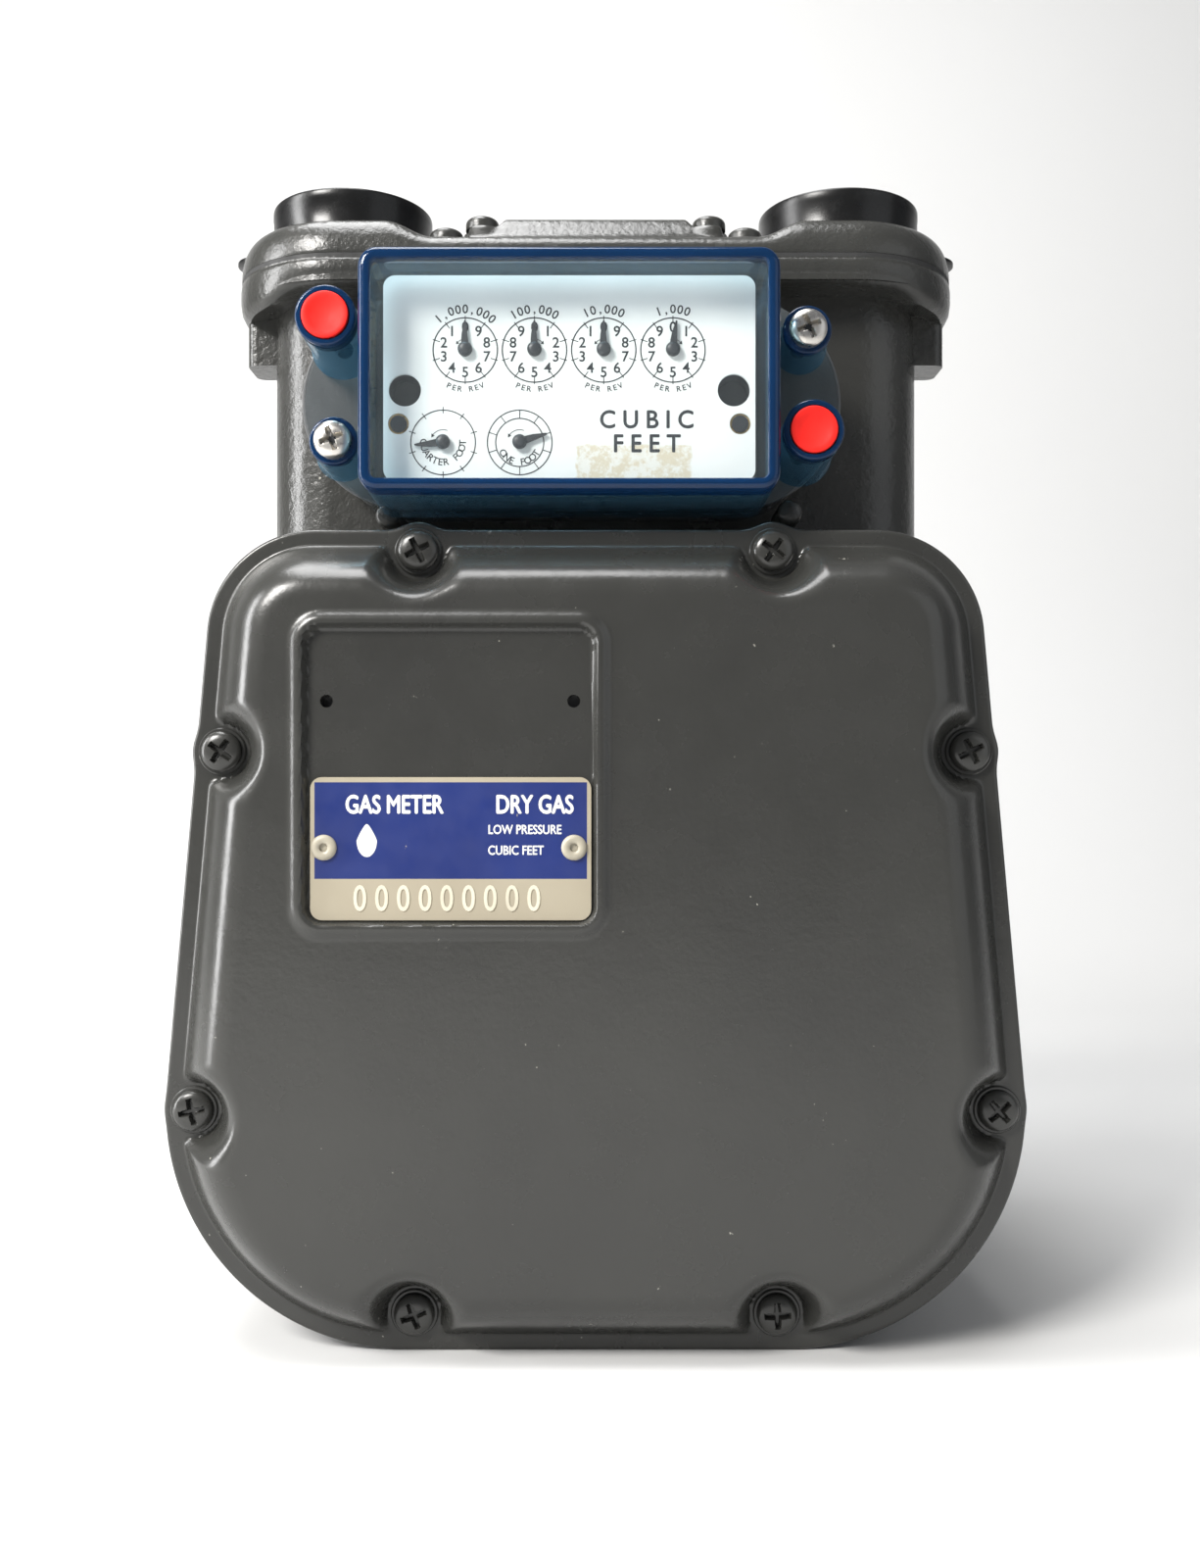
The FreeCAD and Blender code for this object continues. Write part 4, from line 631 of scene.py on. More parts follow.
def make_screws():
    """Painted cover and top-cover screws, and the stainless ones that hold the index box, with painted shade
    as dark crosses in the stainless heads' recesses.
    """
    chance = random.Random(7)
    heads = []
    for sign in (-1, 1):
        for x, z in COVER_SCREWS:
            place = (x * MM, sign * RIM_FACE * MM, z * MM)
            heads.append(screw_head(5.4, 3.4, place, (0, sign, 0), chance.uniform(0, TAU)))
            washer = [(6.3, 0.0), (6.3, 0.5), (6.0, 0.8), (5.0, 0.8)]
            heads.append(lathe("washer", washer, place, (0, sign, 0), 48))
    mesh = joined_mesh("cover_screw_heads", heads)
    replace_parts(add_piece("cover_screw_heads", mesh, COVER_PAINT), "cover_screws")
    heads = []
    for x, y, z in HOOD_BOSSES:
        for side in (-1, 1):
            for end in (-1, 1):
                place = (side * x * MM, end * y * MM, z * MM)
                heads.append(screw_head(5.0, 3.9, place, (0, 0, 1), chance.uniform(0, TAU)))
    mesh = joined_mesh("top_cover_screw_heads", heads)
    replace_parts(add_piece("top_cover_screw_heads", mesh, CAST_PAINT), "top_cover_screws")
    heads = []
    recess_shade = []
    for x, z in BOX_BOSSES:
        place = ((INDEX_X + x) * MM, -HEAD_SEAT * MM, (INDEX_Z + z) * MM)
        turn = chance.uniform(0, TAU)
        heads.append(screw_head(5.1, 3.4, place, (0, -1, 0), turn))
        # Painted shade: a dark cross lies at the bottom of each stainless head's recess.
        for arm in range(2):
            middle = -turn + arm * math.pi / 2
            for level, (long, half) in enumerate(((2.9, 0.34), (1.2, 0.62))):
                corners = []
                for a, b in ((-1, -1), (1, -1), (1, 1), (-1, 1)):
                    u = a * long
                    v = b * half
                    corners.append((
                        INDEX_X + x + u * math.cos(middle) - v * math.sin(middle),
                        INDEX_Z + z + u * math.sin(middle) + v * math.cos(middle),
                    ))
                recess_shade.append(flat_shape(corners, HEAD_SEAT + 1.42 + 0.01 * level + 0.004 * arm))
    mesh = joined_mesh("box_screw_recess_painted_shade", recess_shade)
    add_piece("box_screw_recess_painted_shade", mesh, INK, smooth=False)
    mesh = joined_mesh("box_screw_heads", heads)
    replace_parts(add_piece("box_screw_heads", mesh, STAINLESS), "index_box_screws")


# ---------------------------------------------------------------- top cover


PORT_X = 76.2
HOOD_LOW = 305.8
HOOD_EDGE = 34.2
HOOD_BROW = 306.8
SHELF = 311.7
SHOULDER = 317.2
CROWN_TOP = 320.0
CAP_WELL = 25.9
FLANGE_TOP = 304.6
LIP_DEEPER_FROM = 84.0
LIP_EXTRA = 3.6
HOOD_BOSSES = ((34.0, 21.0, 316.8), (44.4, 25.0, 311.7))


def hood_height(x, y, edge_gap):
    """Top of the hood: a rounded brow, shoulders round the caps and a crown between them."""
    across = np.abs(x)
    beside = np.abs(y)
    shoulder = smooth_step((across - 46.0) / 18.0)
    crown = smooth_step((46.5 - across) / 21.0) * smooth_step((31.0 - beside) / 9.5)
    level = SHELF + (SHOULDER - SHELF) * shoulder + (CROWN_TOP - SHELF) * crown
    brow = np.clip(edge_gap / (4.6 + 1.4 * shoulder), 0.0, 1.0)
    top = HOOD_BROW + (level - HOOD_BROW) * np.sqrt(1 - (1 - brow) ** 2)
    for screw_x, screw_y, seat in HOOD_BOSSES:
        away = np.hypot(across - screw_x, beside - screw_y)
        lift = 1 - smooth_step((away - 5.4) / 2.2)
        top = top * (1 - lift) + seat * lift
    port = np.hypot(across - PORT_X, y)
    well = 1 - smooth_step((port - CAP_WELL) / 0.9)
    slot = (1 - smooth_step((beside - 10.4) / 1.0)) * smooth_step((across - PORT_X) / 1.0)
    sunk = np.maximum(well, slot)
    return np.minimum(top, top * (1 - sunk) + (SHELF - 0.2) * sunk)


def race_track_spine(straight, bend):
    """Points on the line between the two ports, with the directions the outline bulges in."""
    spine = []
    facing = []
    for side in (1, -1):
        for index in range(straight):
            spine.append(side * PORT_X * (2 * index / straight - 1))
            facing.append((0, -side))
        for index in range(bend):
            angle = -side * math.pi / 2 + math.pi * index / bend
            spine.append(side * PORT_X)
            facing.append((math.cos(angle), math.sin(angle)))
    return np.array(spine), np.array(facing, dtype=float)


def make_hood():
    """A closed mesh whose rings follow the hood's race-track outline."""
    spine, facing = race_track_spine(260, 150)

    def ring(out, height=None):
        x = spine + facing[:, 0] * out
        y = facing[:, 1] * out
        if height is None:
            z = hood_height(x, y, np.full(len(x), HOOD_EDGE - out))
        else:
            z = np.full(len(x), height)
        return np.stack([x, y, z], axis=1)

    rows = [ring(HOOD_EDGE - 3, HOOD_LOW), ring(HOOD_EDGE - 0.5, HOOD_LOW)]
    rows += [ring(HOOD_EDGE - 0.1, HOOD_LOW + 0.15), ring(HOOD_EDGE, HOOD_LOW + 0.5)]
    edge = [HOOD_EDGE - 6.4 * (step / 30) ** 1.8 for step in range(31)]
    for out in edge + list(np.linspace(edge[-1], 0.0, 96)[1:]):
        rows.append(ring(out))
    mesh = grid_mesh("top_cover_skin", np.array(rows) * MM, cap_start=True)
    piece = add_piece("top_cover_skin", mesh, CAST_PAINT)
    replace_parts(piece, "top_cover")


def make_casting_flange():
    """The casting's top flange with its rounded lip, deeper at its two ends."""
    profile = [
        (17.0, 297.6), (31.6, 297.2), (33.1, 297.9), (34.1, 299.2), (34.5, 301.0), (34.5, 303.2),
        (34.35, 304.1), (33.9, 304.55), (31.0, FLANGE_TOP), (17.0, 304.0),
    ]
    rows = []
    for out, height in profile + profile[:1]:
        spine, facing = race_track_spine(160, 110)
        x = spine + facing[:, 0] * out
        y = facing[:, 1] * out
        ends = smooth_step((np.abs(x) - LIP_DEEPER_FROM) / 18.0)
        drop = LIP_EXTRA * ends * (FLANGE_TOP - height) / 7.4
        rows.append(np.stack([x, y, height - drop], axis=1))
    mesh = grid_mesh("casting_flange", np.array(rows) * MM)
    add_piece("casting_flange", mesh, CAST_PAINT)
    bosses = []
    for x, z in ((-58.7, 226.6), (54.9, 227.4)):
        profile = [(3.6, 0.0), (3.6, 25.5), (3.2, 26.6), (2.6, 27.0), (0, 27.0)]
        bosses.append(lathe("corner_boss", profile, (x * MM, -21.0 * MM, z * MM), (0, -1, 0), 40))
    add_piece("corner_bosses", joined_mesh("corner_bosses", bosses), CAST_PAINT)


# ---------------------------------------------------------------- caps


def make_caps():
    """Push-on caps with rounded edges and a thin pull tab on the outer side."""
    for name, side in (("inlet", -1), ("outlet", 1)):
        low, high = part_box(f"{name}_cap")
        centre = (side * PORT_X * MM, 0, low[2])
        tall = (high[2] - low[2]) / MM
        outer = 24.7
        inner = 23.0
        profile = [(0, tall - 2.0), (inner, tall - 2.0), (inner, 0.4), (inner + 0.3, 0), (outer - 0.5, 0)]
        profile += [(outer, 0.5), (outer, 2.2), (outer - 0.12, 2.5)]
        profile += [(outer - 0.12, tall - 3.2), (outer, tall - 2.9)]
        profile += rounded_corner(outer, tall, 0.9)
        profile += [(outer - 2.2, tall), (outer - 2.7, tall - 0.7)]
        profile += [(outer - 4.2, tall - 0.9), (0, tall - 0.9)]
        cup = lathe(f"{name}_cup", profile, centre, (0, 0, 1), 144)
        tab = make_tab(centre, side)
        mesh = joined_mesh(f"{name}_cap_moulding", [cup, tab])
        piece = add_piece(f"{name}_cap_moulding", mesh, CAP_BLACK, f"{name}_cap")
        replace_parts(piece, f"{name}_cap")


def make_tab(centre, side):
    """A thin round-ended tab with softened edges."""
    half = 9.0
    start = 23.6
    reach = 27.2
    outline = []
    for step in range(33):
        angle = -math.pi / 2 + math.pi * step / 32
        outline.append((reach + half * math.cos(angle), half * math.sin(angle)))
    outline += [(start, half), (start, -half)]
    middle = np.mean(outline, axis=0)
    rows = []
    for shrink, height in ((0.6, 0.0), (0.0, 0.35), (0.0, 1.2), (0.6, 1.55), (2.0, 1.6)):
        ring = []
        for x, y in outline:
            toward = Vector((middle[0] - x, middle[1] - y)).normalized() * shrink
            ring.append((side * (x + toward.x), y + toward.y, height))
        rows.append(ring)
    rows = np.array(rows) * MM + np.array(centre)
    return grid_mesh("tab", rows, cap_start=True, cap_end=True)


# ---------------------------------------------------------------- index box


INDEX_X = -6.8
INDEX_Z = 258.0
BOX_BOSSES = [(-64.0, 15.0), (64.0, -15.0), (-64.0, -15.0), (64.0, 15.0)]
HEAD_SEAT = 66.0
TALL_FACE = 78.0
BOX_BACK = 48.0
BOX_FRONT = 85.0
BOX_WIDE = 109.0
BOX_TALL = 62.9
BOX_DROP = 0.8
MOUNT_REACH = 46.0
MOUNT_RADIUS = 29.0


def rounded_rectangle(wide, tall, corner, steps=10):
    """Points round a rounded rectangle centred on the index, as x and z."""
    points = []
    for index, (sx, sz) in enumerate(((1, 1), (-1, 1), (-1, -1), (1, -1))):
        for step in range(steps + 1):
            angle = math.pi / 2 * (index + step / steps)
            points.append((
                INDEX_X + sx * (wide / 2 - corner) + corner * math.cos(angle),
                INDEX_Z - BOX_DROP + sz * (tall / 2 - corner) + corner * math.sin(angle),
            ))
    return points


def loft(name, sections, **caps):
    """A mesh through sections of (outline, distance in front of the middle plane)."""
    rows = []
    for outline, front in sections:
        rows.append([(x * MM, -front * MM, z * MM) for x, z in outline])
    return grid_mesh(name, rows, **caps)


def box_section(inset, front):
    corner = max(5.0 - inset, 1.2)
    return rounded_rectangle(BOX_WIDE - 2 * inset, BOX_TALL - 2 * inset, corner), front


def box_loft(name, walls, material):
    sections = [box_section(inset, front) for inset, front in walls]
    piece = add_piece(name, loft(name, sections + sections[:1]), material)
    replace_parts(piece, "index_box")


def band_round(circles, steps=14):
    """The tight band round some circles of (x, z, radius), counter-clockwise, about the index."""
    leaves = []
    for index, (x1, z1, r1) in enumerate(circles):
        x2, z2, r2 = circles[(index + 1) % len(circles)]
        apart = math.hypot(x2 - x1, z2 - z1)
        leaves.append(math.atan2(z2 - z1, x2 - x1) - math.acos((r1 - r2) / apart))
    points = []
    for index, (x, z, radius) in enumerate(circles):
        begin = leaves[index - 1]
        turn = (leaves[index] - begin) % TAU
        for step in range(steps + 1):
            angle = begin + turn * step / steps
            points.append((INDEX_X + x + radius * math.cos(angle), INDEX_Z + z + radius * math.sin(angle)))
    return points


def flange_band(inset):
    small = 5.0 - inset
    return band_round([
        (-MOUNT_REACH, 0, MOUNT_RADIUS - inset), (-50, -28.5, small), (50, -28.5, small),
        (MOUNT_REACH, 0, MOUNT_RADIUS - inset), (50, 27.5, small), (-50, 27.5, small),
    ])


def make_index_box():
    """The clear box: a deep blue rim, paler walls, a window, a clear flange and four bosses."""
    box_loft("index_box_rim", [
        (0.0, BOX_FRONT - 7.0), (0.0, BOX_FRONT - 1.8), (0.35, BOX_FRONT - 0.7), (1.1, BOX_FRONT - 0.05),
        (2.2, BOX_FRONT), (2.9, BOX_FRONT - 0.15), (3.2, BOX_FRONT - 0.6), (3.25, BOX_FRONT - 1.6),
        (2.4, BOX_FRONT - 2.6), (2.2, BOX_FRONT - 7.0),
    ], BOX_RIM)
    box_loft("index_box_walls", [
        (0.02, BOX_BACK), (0.02, BOX_FRONT - 7.0), (2.2, BOX_FRONT - 7.0), (2.2, BOX_BACK),
    ], BOX_WALL)
    steps = [(0.0, 0.02), (0.0, 1.7), (0.2, 2.2), (0.8, 2.5), (1.8, 2.4), (2.4, 1.8), (3.4, 1.6)]
    flange = [(flange_band(inset), BOX_BACK + front) for inset, front in steps]
    mesh = loft("index_box_flange", flange, cap_start=True, cap_end=True)
    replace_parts(add_piece("index_box_flange", mesh, BOX_FLANGE), "index_box")
    bodies = []
    lips = []
    for index, (x, z) in enumerate(BOX_BOSSES):
        centre = ((INDEX_X + x) * MM, -BOX_BACK * MM, (INDEX_Z + z) * MM)
        radius, face = (8.0, TALL_FACE) if index < 2 else (6.6, HEAD_SEAT)
        tall = face - BOX_BACK
        profile = [(2.5, 2.0), (radius + 1.0, 2.0), (radius + 0.3, 3.2), (radius, 5.0), (radius, tall - 3.0)]
        profile += [(2.5, tall - 3.0)]
        bodies.append(lathe("boss", profile, centre, (0, -1, 0), 72))
        bore = 6.3 if index < 2 else 2.5
        floor = HEAD_SEAT - BOX_BACK if index < 2 else tall - 3.0
        lip = [(radius - 0.2, tall - 3.0)] + rounded_corner(radius, tall, 0.7) + [(bore + 0.2, tall)]
        lip += [(bore, tall - 0.3), (bore, max(floor, tall - 6.0)), (radius - 0.2, max(floor, tall - 6.0))]
        lips.append(lathe("boss_lip", lip, centre, (0, -1, 0), 72))
    mesh = joined_mesh("index_box_bosses", bodies)
    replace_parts(add_piece("index_box_bosses", mesh, BOX_WALL), "index_box")
    mesh = joined_mesh("index_box_lips", lips)
    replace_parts(add_piece("index_box_lips", mesh, BOX_RIM), "index_box")
    pane = [
        box_section(inset, BOX_FRONT - behind)
        for inset, behind in ((2.5, 2.2), (2.5, 1.0), (2.9, 0.6), (4.6, 0.6), (5.2, 0.75))
    ]
    mesh = loft("index_window", pane, cap_start=True, cap_end=True)
    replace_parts(add_piece("index_window", mesh, PANE_CLEAR, smooth=False), "index_box")
    plugs = []
    for x, z in BOX_BOSSES[:2]:
        centre = ((INDEX_X + x) * MM, -70 * MM, (INDEX_Z + z) * MM)
        profile = [(0, 0), (6.1, 0), (6.1, 7.6), (6.2, 8.0)] + rounded_corner(6.2, 8.7, 0.45)
        profile += [(4.6, 8.75), (4.2, 8.45), (0, 8.4)]
        plugs.append(lathe("plug", profile, centre, (0, -1, 0), 72))
    mesh = joined_mesh("seal_plug_mouldings", plugs)
    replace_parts(add_piece("seal_plug_mouldings", mesh, PLUG_RED), "seal_plugs")


# ---------------------------------------------------------------- dial printing


PLATE_X = -7.0
PLATE_Z = 258.4
DIAL_FACE = 71.0
DIAL_PITCH = 18.43
DIAL_ROW = PLATE_Z + 7.5
TEST_ROW = PLATE_Z - 17.1
DIAL_XS = [PLATE_X - 27.7 + index * DIAL_PITCH for index in range(4)]
RING = 8.6
PRINT_FRONT = DIAL_FACE + 0.05


def flat_ring(x, z, inner, outer, start=0.0, end=TAU, front=PRINT_FRONT, steps=96):
    """A printed band round a centre, or part of one."""
    rows = []
    for radius in (inner, outer):
        rows.append([
            (
                (x + radius * math.cos(start + (end - start) * step / steps)) * MM,
                -front * MM,
                (z + radius * math.sin(start + (end - start) * step / steps)) * MM,
            )
            for step in range(steps + 1)
        ])
    return grid_mesh("ring", rows, wrap=False)


def flat_shape(points, front=PRINT_FRONT):
    """A printed polygon from x and z points."""
    mesh = bpy.data.meshes.new("shape")
    mesh.from_pydata([(x * MM, -front * MM, z * MM) for x, z in points], [], [tuple(range(len(points)))])
    mesh.update()
    return mesh


def tick(x, z, inner, outer, angle, wide):
    """A radial line at an angle counter-clockwise from +X."""
    along = Vector((math.cos(angle), math.sin(angle)))
    beside = Vector((-along.y, along.x)) * wide / 2
    middle = Vector((x, z))
    corners = [middle + along * r + beside * s for r, s in ((inner, -1), (outer, -1), (outer, 1), (inner, 1))]
    return flat_shape([tuple(p) for p in corners])


def lettering(words, size, x, z, turn=0.0, weight=0.0, front=PRINT_FRONT, stretch=1.0):
    """Printed words centred at a point on the index or badge, turned counter-clockwise."""
    curve = bpy.data.curves.new("words", "FONT")
    curve.body = words
    curve.size = size * MM
    curve.offset = weight * MM
    curve.align_x = "CENTER"
    curve.align_y = "CENTER"
    curve.resolution_u = 4
    holder = bpy.data.objects.new("words", curve)
    bpy.context.scene.collection.objects.link(holder)
    bpy.context.view_layer.update()
    mesh = bpy.data.meshes.new_from_object(holder.evaluated_get(bpy.context.evaluated_depsgraph_get()))
    bpy.data.objects.remove(holder)
    bpy.data.curves.remove(curve)
    place = Matrix.Translation((x * MM, -front * MM, z * MM))
    upright = Matrix.Rotation(math.pi / 2, 4, "X")
    mesh.transform(place @ Matrix.Rotation(-turn, 4, "Y") @ upright @ Matrix.Diagonal((stretch, 1, 1, 1)))
    return mesh


def heavy(words, size, x, z, stroke, front, stretch=1.0):
    """Words printed bold: the same letters struck a few times, each a little to one side."""
    meshes = []
    for level, (part_x, part_z) in enumerate(((-1, 0), (1, 0), (0, -1), (0, 1), (0, 0))):
        meshes.append(lettering(
            words, size, x + part_x * stroke, z + part_z * stroke,
            front=front + level * 0.006, stretch=stretch,
        ))
    return meshes


def arched(words, size, x, z, radius, middle, step, weight=0.0, inward=False):
    """Letters set one by one round an arc; inward ones read with their feet outward."""
    meshes = []
    for index, letter in enumerate(words):
        if letter == " ":
            continue
        offset = (index - (len(words) - 1) / 2) * step
        angle = middle + offset if inward else middle - offset
        turn = angle + math.pi / 2 if inward else angle - math.pi / 2
        meshes.append(lettering(
            letter, size, x + radius * math.cos(angle), z + radius * math.sin(angle), turn, weight,
        ))
    return meshes


def small_arrow(x, z, radius, start, end):
    """A curved arrow whose head is at the end angle."""
    meshes = [flat_ring(x, z, radius - 0.09, radius + 0.09, start, end, steps=16)]
    sign = 1 if end > start else -1
    tip = end + sign * 0.28
    head = [(radius - 0.55, end), (radius + 0.55, end), (radius, tip)]
    meshes.append(flat_shape([(x + r * math.cos(a), z + r * math.sin(a)) for r, a in head]))
    return meshes


def make_dial_printing():
    """Rings, ticks, numerals, arrows and unit words on the dial plate."""
    ink = []
    up = math.pi / 2
    tenth = TAU / 10
    captions = ("1,000,000", "100,000", "10,000", "1,000")
    for index, (x, caption) in enumerate(zip(DIAL_XS, captions)):
        ring_z = DIAL_ROW
        ink.append(flat_ring(x, ring_z, RING - 0.20, RING + 0.14))
        sense = 1 if index % 2 == 0 else -1
        for number in range(10):
            angle = up + sense * number * tenth
            ink.append(tick(x, ring_z, RING - 1.5, RING + 0.5, angle, 0.24))
            ink.append(lettering(
                str(number), 3.9, x + 6.0 * math.cos(angle), ring_z + 6.0 * math.sin(angle), 0.0, 0.06,
            ))
        ink += small_arrow(x, ring_z, 2.9, up - sense * 0.25, up + sense * 0.75)
        ink += arched(caption, 3.3, x, ring_z, RING + 2.2, up, 0.178, 0.05)
        ink += arched("PER REV", 2.1, x, ring_z, RING + 1.9, -up, 0.145, 0.03, inward=True)
    quarter = PLATE_X - 33.6
    foot = PLATE_X - 13.2
    ink.append(flat_ring(quarter, TEST_ROW, RING - 0.14, RING + 0.16))
    ink.append(flat_ring(foot, TEST_ROW, RING - 0.14, RING + 0.16))
    ink.append(flat_ring(foot, TEST_ROW, RING - 2.35, RING - 2.05))
    for number in range(10):
        angle = up + number * tenth
        ink.append(tick(quarter, TEST_ROW, RING - 0.9, RING + 0.9, angle, 0.24))
        ink.append(tick(foot, TEST_ROW, RING - 2.2, RING, angle, 0.24))
    for x, words in ((quarter, "QUARTER FOOT"), (foot, "ONE FOOT")):
        ink += small_arrow(x, TEST_ROW, 3.4, up - 0.35, up + 0.9)
        ink += arched(words, 2.6, x, TEST_ROW, 5.3, -up, 0.285, 0.03, inward=True)
    ink += heavy("C U B I C", 6.7, PLATE_X + 20.6, PLATE_Z - 11.2, 0.13, PRINT_FRONT, 0.93)
    ink += heavy("F E E T", 6.7, PLATE_X + 20.6, PLATE_Z - 17.6, 0.13, PRINT_FRONT, 0.93)
    add_piece("dial_printing", joined_mesh("dial_printing", ink), INK, smooth=False)


def make_plate_holes():
    """Dark hollows behind the two large openings in the dial plate, painted shade where they look into the
    meter, and dark seats behind the two small ones.
    """
    cups = []
    for side in (-1, 1):
        centre = ((PLATE_X + side * 43.8) * MM, -(DIAL_FACE - 0.9) * MM, (PLATE_Z - 3.2) * MM)
        # Painted shade: a black hollow behind each large opening.
        profile = [(0, -6.0), (4.2, -6.0), (4.2, 0.0), (4.7, 0.0), (4.7, -6.5), (0, -6.5)]
        cups.append(lathe("cup", profile, centre, (0, -1, 0), 48))
        ring = ((PLATE_X + side * 45.5) * MM, -(DIAL_FACE - 0.86) * MM, (PLATE_Z - 12.1) * MM)
        profile = [(0, -0.5), (3.4, -0.5), (3.4, 0.0), (2.3, 0.0), (2.3, -0.2), (0, -0.2)]
        cups.append(lathe("seat", profile, ring, (0, -1, 0), 48))
    add_piece("plate_hole_painted_shade_and_seats", joined_mesh("plate_hole_painted_shade_and_seats", cups), POINTER_BLACK)


# ---------------------------------------------------------------- badge


def make_badge_details():
    """Generic wording and a plain flame mark in place of the maker's, stamped digits with a painted shadow
    and a painted highlight, and tubular rivets with a disc of painted shade inside each.
    """
    low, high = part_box("badge_plate")
    front = -low[1] / MM + 0.04
    left = low[0] / MM
    right = high[0] / MM
    top = high[2] / MM
    print_z = top - 7.2
    ink = heavy("GAS METER", 6.6, left + 21.5, print_z, 0.17, front, 0.74)
    ink += heavy("DRY GAS", 6.6, right - 14.5, print_z, 0.17, front, 0.74)
    ink += heavy("LOW PRESSURE", 3.3, right - 17.0, print_z - 6.3, 0.07, front, 0.82)
    ink += heavy("CUBIC FEET", 3.3, right - 19.3, print_z - 11.6, 0.07, front, 0.82)
    flame = []
    for step in range(40):
        angle = TAU * step / 40
        wide = 2.6 * math.sin(angle) * (1 - 0.55 * max(0.0, math.cos(angle)))
        flame.append((left + 14.5 + wide, print_z - 9.0 + 4.2 * math.cos(angle)))
    ink.append(flat_shape(flame, front))
    add_piece("badge_lettering", joined_mesh("badge_lettering", ink), BADGE_INK, smooth=False)
    middle = (left + right) / 2 - 1.0
    level = low[2] / MM + 5.3
    # Painted shadow: a dark copy of the stamped digits, set down and to the right just behind them.
    shade = heavy("0 0 0 0 0 0 0 0 0", 9.4, middle + 0.24, level - 0.24, 0.09, front - 0.035, 0.76)
    mesh = joined_mesh("badge_stamp_shade", shade)
    add_piece("badge_stamp_shade", mesh, BADGE_SHADE, smooth=False)
    # Painted highlight: the stamped digits in front, lighter than the strip as their lit faces.
    lit_digits = heavy("0 0 0 0 0 0 0 0 0", 9.4, middle, level, 0.09, front, 0.76)
    add_piece("badge_stamping", joined_mesh("badge_stamping", lit_digits), BADGE_PAINTED_HIGHLIGHT, smooth=False)
    rivets = []
    shade_in_bores = []
    for x in (-69.5, -5.5):
        centre = (x * MM, -86.3 * MM, 134.0 * MM)
        profile = [(3.3, 0.0), (3.3, 0.35), (3.0, 0.85), (2.3, 1.1), (1.5, 1.05)]
        profile += [(1.1, 0.7), (1.05, -1.2), (0, -1.2)]
        rivets.append(lathe("rivet", profile, centre, (0, -1, 0), 56))
        # Painted shade: a flat dark disc sunk inside each rivet's bore.
        shade_in_bores.append(lathe("bore", [(1.0, 0.0), (0, 0.0)], (x * MM, -86.0 * MM, 134.0 * MM), (0, -1, 0), 40))
    add_piece("rivet_bore_painted_shade", joined_mesh("rivet_bore_painted_shade", shade_in_bores), INK, smooth=False)
    mesh = joined_mesh("rivet_heads", rivets)
    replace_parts(add_piece("rivet_heads", mesh, RIVET_CREAM), "badge_rivets")


def make_pointer_hubs():
    """Small dark caps pressed over the arbor ends, each turning with its own pointer."""
    for arbor, body in (
        ("one_foot_arbor", "index_drive"), ("quarter_foot_arbor", "quarter_foot"),
        ("thousand_arbor", "thousand"), ("ten_thousand_arbor", "ten_thousand"),
        ("hundred_thousand_arbor", "hundred_thousand"), ("million_arbor", "million"),
    ):
        low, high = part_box(arbor)
        x = (low[0] + high[0]) / 2
        z = (low[2] + high[2]) / 2
        place = (x, low[1] + 0.3 * MM, z)
        profile = [(1.75, 0.0), (1.75, 0.35), (1.6, 0.62), (1.15, 0.86), (0.6, 0.96), (0, 1.0)]
        name = f"{body}_pointer_hub"
        add_piece(name, lathe(name, profile, place, (0, -1, 0), 40), POINTER_BLACK, body=body)


# ---------------------------------------------------------------- carried-over CAD pieces


def soften(node, wide, angle=35):
    """Welds a CAD mesh's seams and rounds its sharp edges by a small bevel."""
    piece = NODES[node]
    weld = piece.modifiers.new("weld", "WELD")
    weld.merge_threshold = 1e-6
    bevel = piece.modifiers.new("bevel", "BEVEL")
    bevel.width = wide * MM
    bevel.segments = 3
    bevel.limit_method = "ANGLE"
    bevel.angle_limit = math.radians(angle)
    bevel.harden_normals = False


def finish_cad():
    """Gives every carried-over CAD node its material and softens the ones that show."""
    by_word = [
        ("body_casting", CAST_PAINT), ("gasket", GASKET), ("connection", ZINC), ("index_base", BASE_GREY),
        ("dial_plate_screws", INK), ("dial_plate", DIAL_WHITE_PAINT), ("badge_plate", BADGE_PRINT),
        ("pointer", POINTER_BLACK), ("arbor", GEAR_WHITE), ("index_frame", BRASS), ("pillar", BRASS),
        ("diaphragm_rings", ZINC), ("diaphragm", FIBRE), ("valve", PHENOLIC), ("duct", PHENOLIC),
        ("bushing", BRASS), ("rod_steps", BRASS), ("worm_wheel", GEAR_WHITE),
    ]
    for name, piece in NODES.items():
        material = ZINC
        for word, chosen in by_word:
            if word in name:
                material = chosen
                break
        piece.data.materials.clear()
        piece.data.materials.append(material)
    for name in NODES:
        if name.endswith("_pointer"):
            soften(name, 0.15)
    soften("badge_plate", 0.2)
    soften("index_base", 0.3)


# ---------------------------------------------------------------- stage


CAMERA_AWAY = 457.0
CAMERA_HEIGHT = 146.5
FOCAL_PIXELS = 1480.0
FRAME_WIDE = 1225.0
FRAME_TALL = 1600.0
VANISHING = (608.0, 815.0)
SENSOR = 36.0


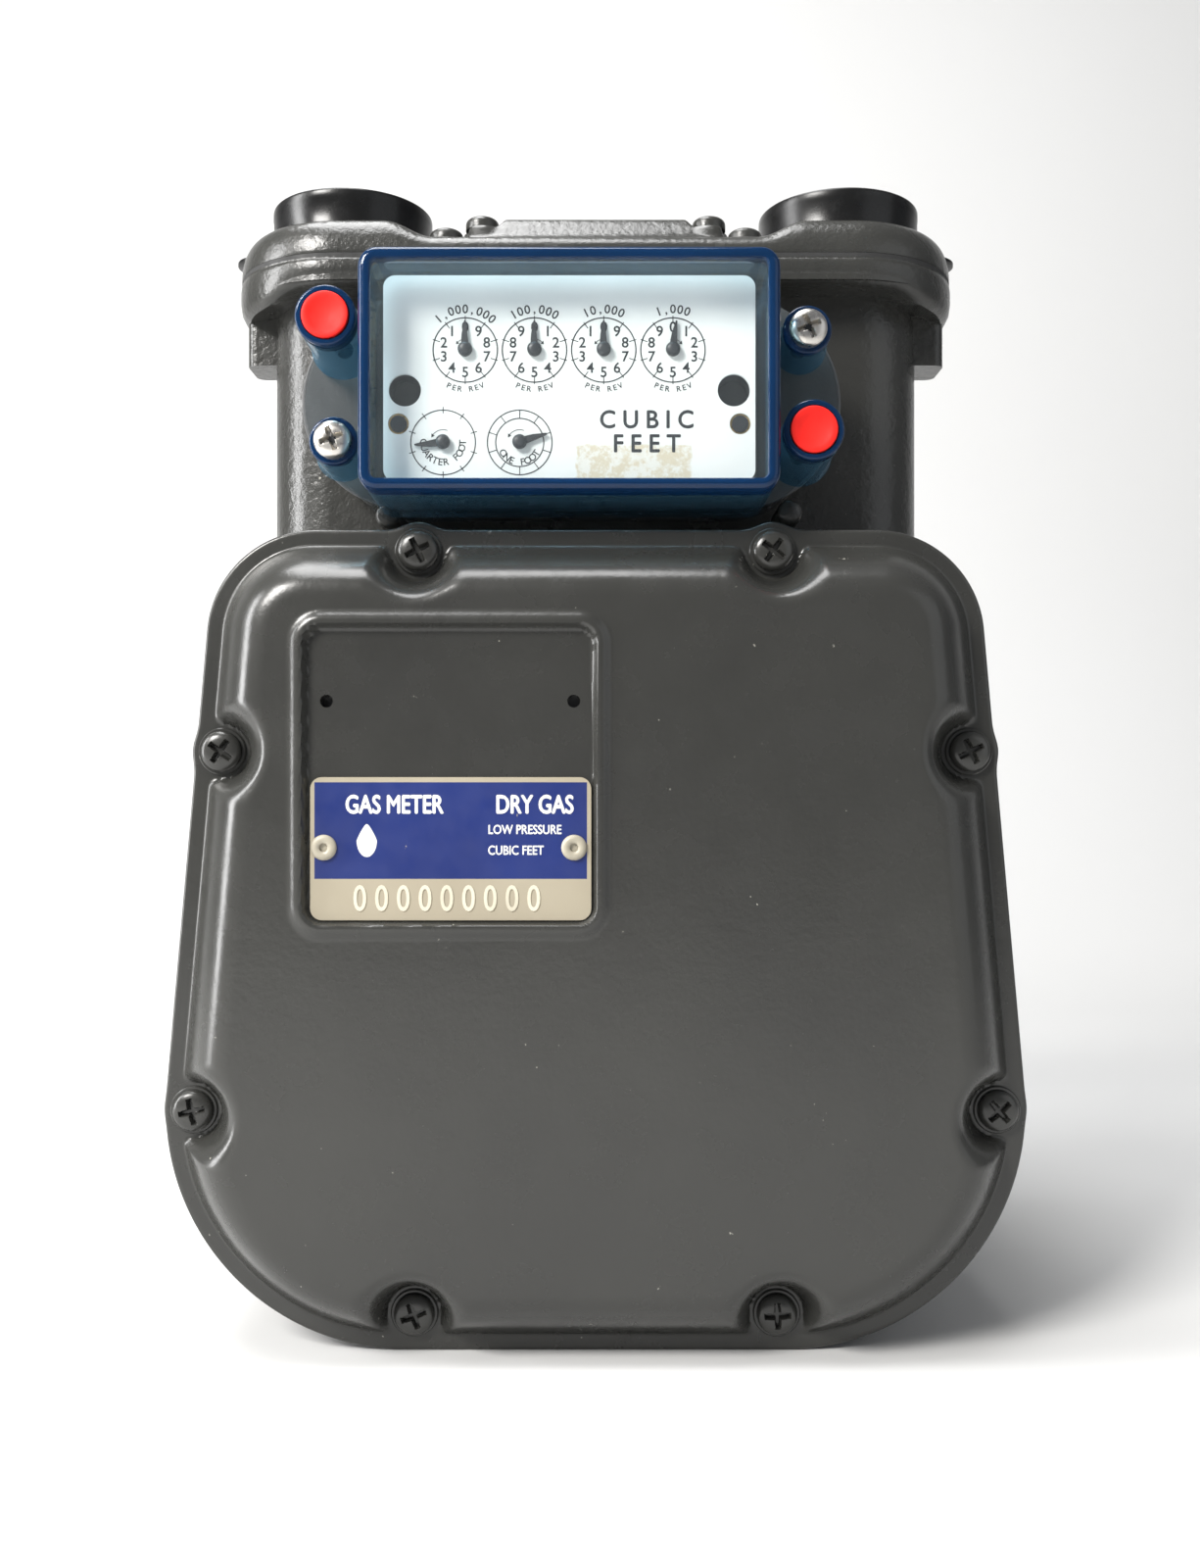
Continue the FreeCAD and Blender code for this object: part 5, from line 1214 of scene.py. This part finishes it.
def make_camera():
    data = bpy.data.cameras.new("camera")
    data.sensor_fit = "VERTICAL"
    data.sensor_height = SENSOR
    data.lens = FOCAL_PIXELS * SENSOR / FRAME_TALL
    data.shift_x = (FRAME_WIDE / 2 - VANISHING[0]) / FRAME_TALL
    data.shift_y = (VANISHING[1] - FRAME_TALL / 2) / FRAME_TALL
    data.clip_start = 0.02
    data.clip_end = 50
    camera = bpy.data.objects.new("camera", data)
    camera.location = (0, -CAMERA_AWAY * MM, CAMERA_HEIGHT * MM)
    camera.rotation_euler = (math.pi / 2, 0, 0)
    bpy.context.scene.collection.objects.link(camera)
    bpy.context.scene.camera = camera


def add_area(name, place, target, size, power, color=(1, 1, 1)):
    data = bpy.data.lights.new(name, "AREA")
    data.shape = "RECTANGLE"
    data.size = size[0]
    data.size_y = size[1]
    data.energy = power
    data.color = color
    light = bpy.data.objects.new(name, data)
    light.location = place
    light.rotation_euler = (Vector(target) - Vector(place)).to_track_quat("-Z", "Y").to_euler()
    bpy.context.scene.collection.objects.link(light)


def make_stage():
    """A pale floor that curves up into a backdrop, and soft studio light from the upper left."""
    wide = 5.0
    path = [(-5.0, 0.0), (0.55, 0.0)]
    for step in range(1, 13):
        angle = math.pi / 2 * step / 12
        path.append((0.55 + 0.5 * math.sin(angle), 0.5 - 0.5 * math.cos(angle)))
    path.append((1.05, 4.0))
    rows = [[(-wide, y, z), (wide, y, z)] for y, z in path]
    mesh = grid_mesh("floor", rows, wrap=False)
    floor = bpy.data.objects.new("floor", mesh)
    bpy.context.scene.collection.objects.link(floor)
    mesh.materials.append(FLOOR)
    for face in mesh.polygons:
        face.use_smooth = True
    middle = (0, 0, 0.17)
    add_area("key", (-0.85, -1.0, 1.05), middle, (0.5, 0.5), 34, (1.0, 0.98, 0.95))
    add_area("top", (-0.25, -0.1, 1.4), middle, (0.9, 0.6), 20)
    add_area("fill", (1.2, -1.0, 0.6), middle, (1.2, 1.2), 3, (0.94, 0.97, 1.0))
    add_area("left_strip", (-1.0, -0.25, 0.35), middle, (0.25, 1.0), 14)
    world = bpy.data.worlds.new("world")
    world.use_nodes = True
    background = world.node_tree.nodes["Background"]
    background.inputs["Color"].default_value = (0.90, 0.93, 1.0, 1)
    background.inputs["Strength"].default_value = 0.21
    bpy.context.scene.world = world
    bpy.context.scene.view_settings.view_transform = "Standard"


make_stage()
make_camera()
finish_cad()
make_covers()
make_hood()
make_casting_flange()
make_caps()
make_index_box()
make_screws()
make_dial_printing()
make_plate_holes()
make_badge_details()
make_pointer_hubs()
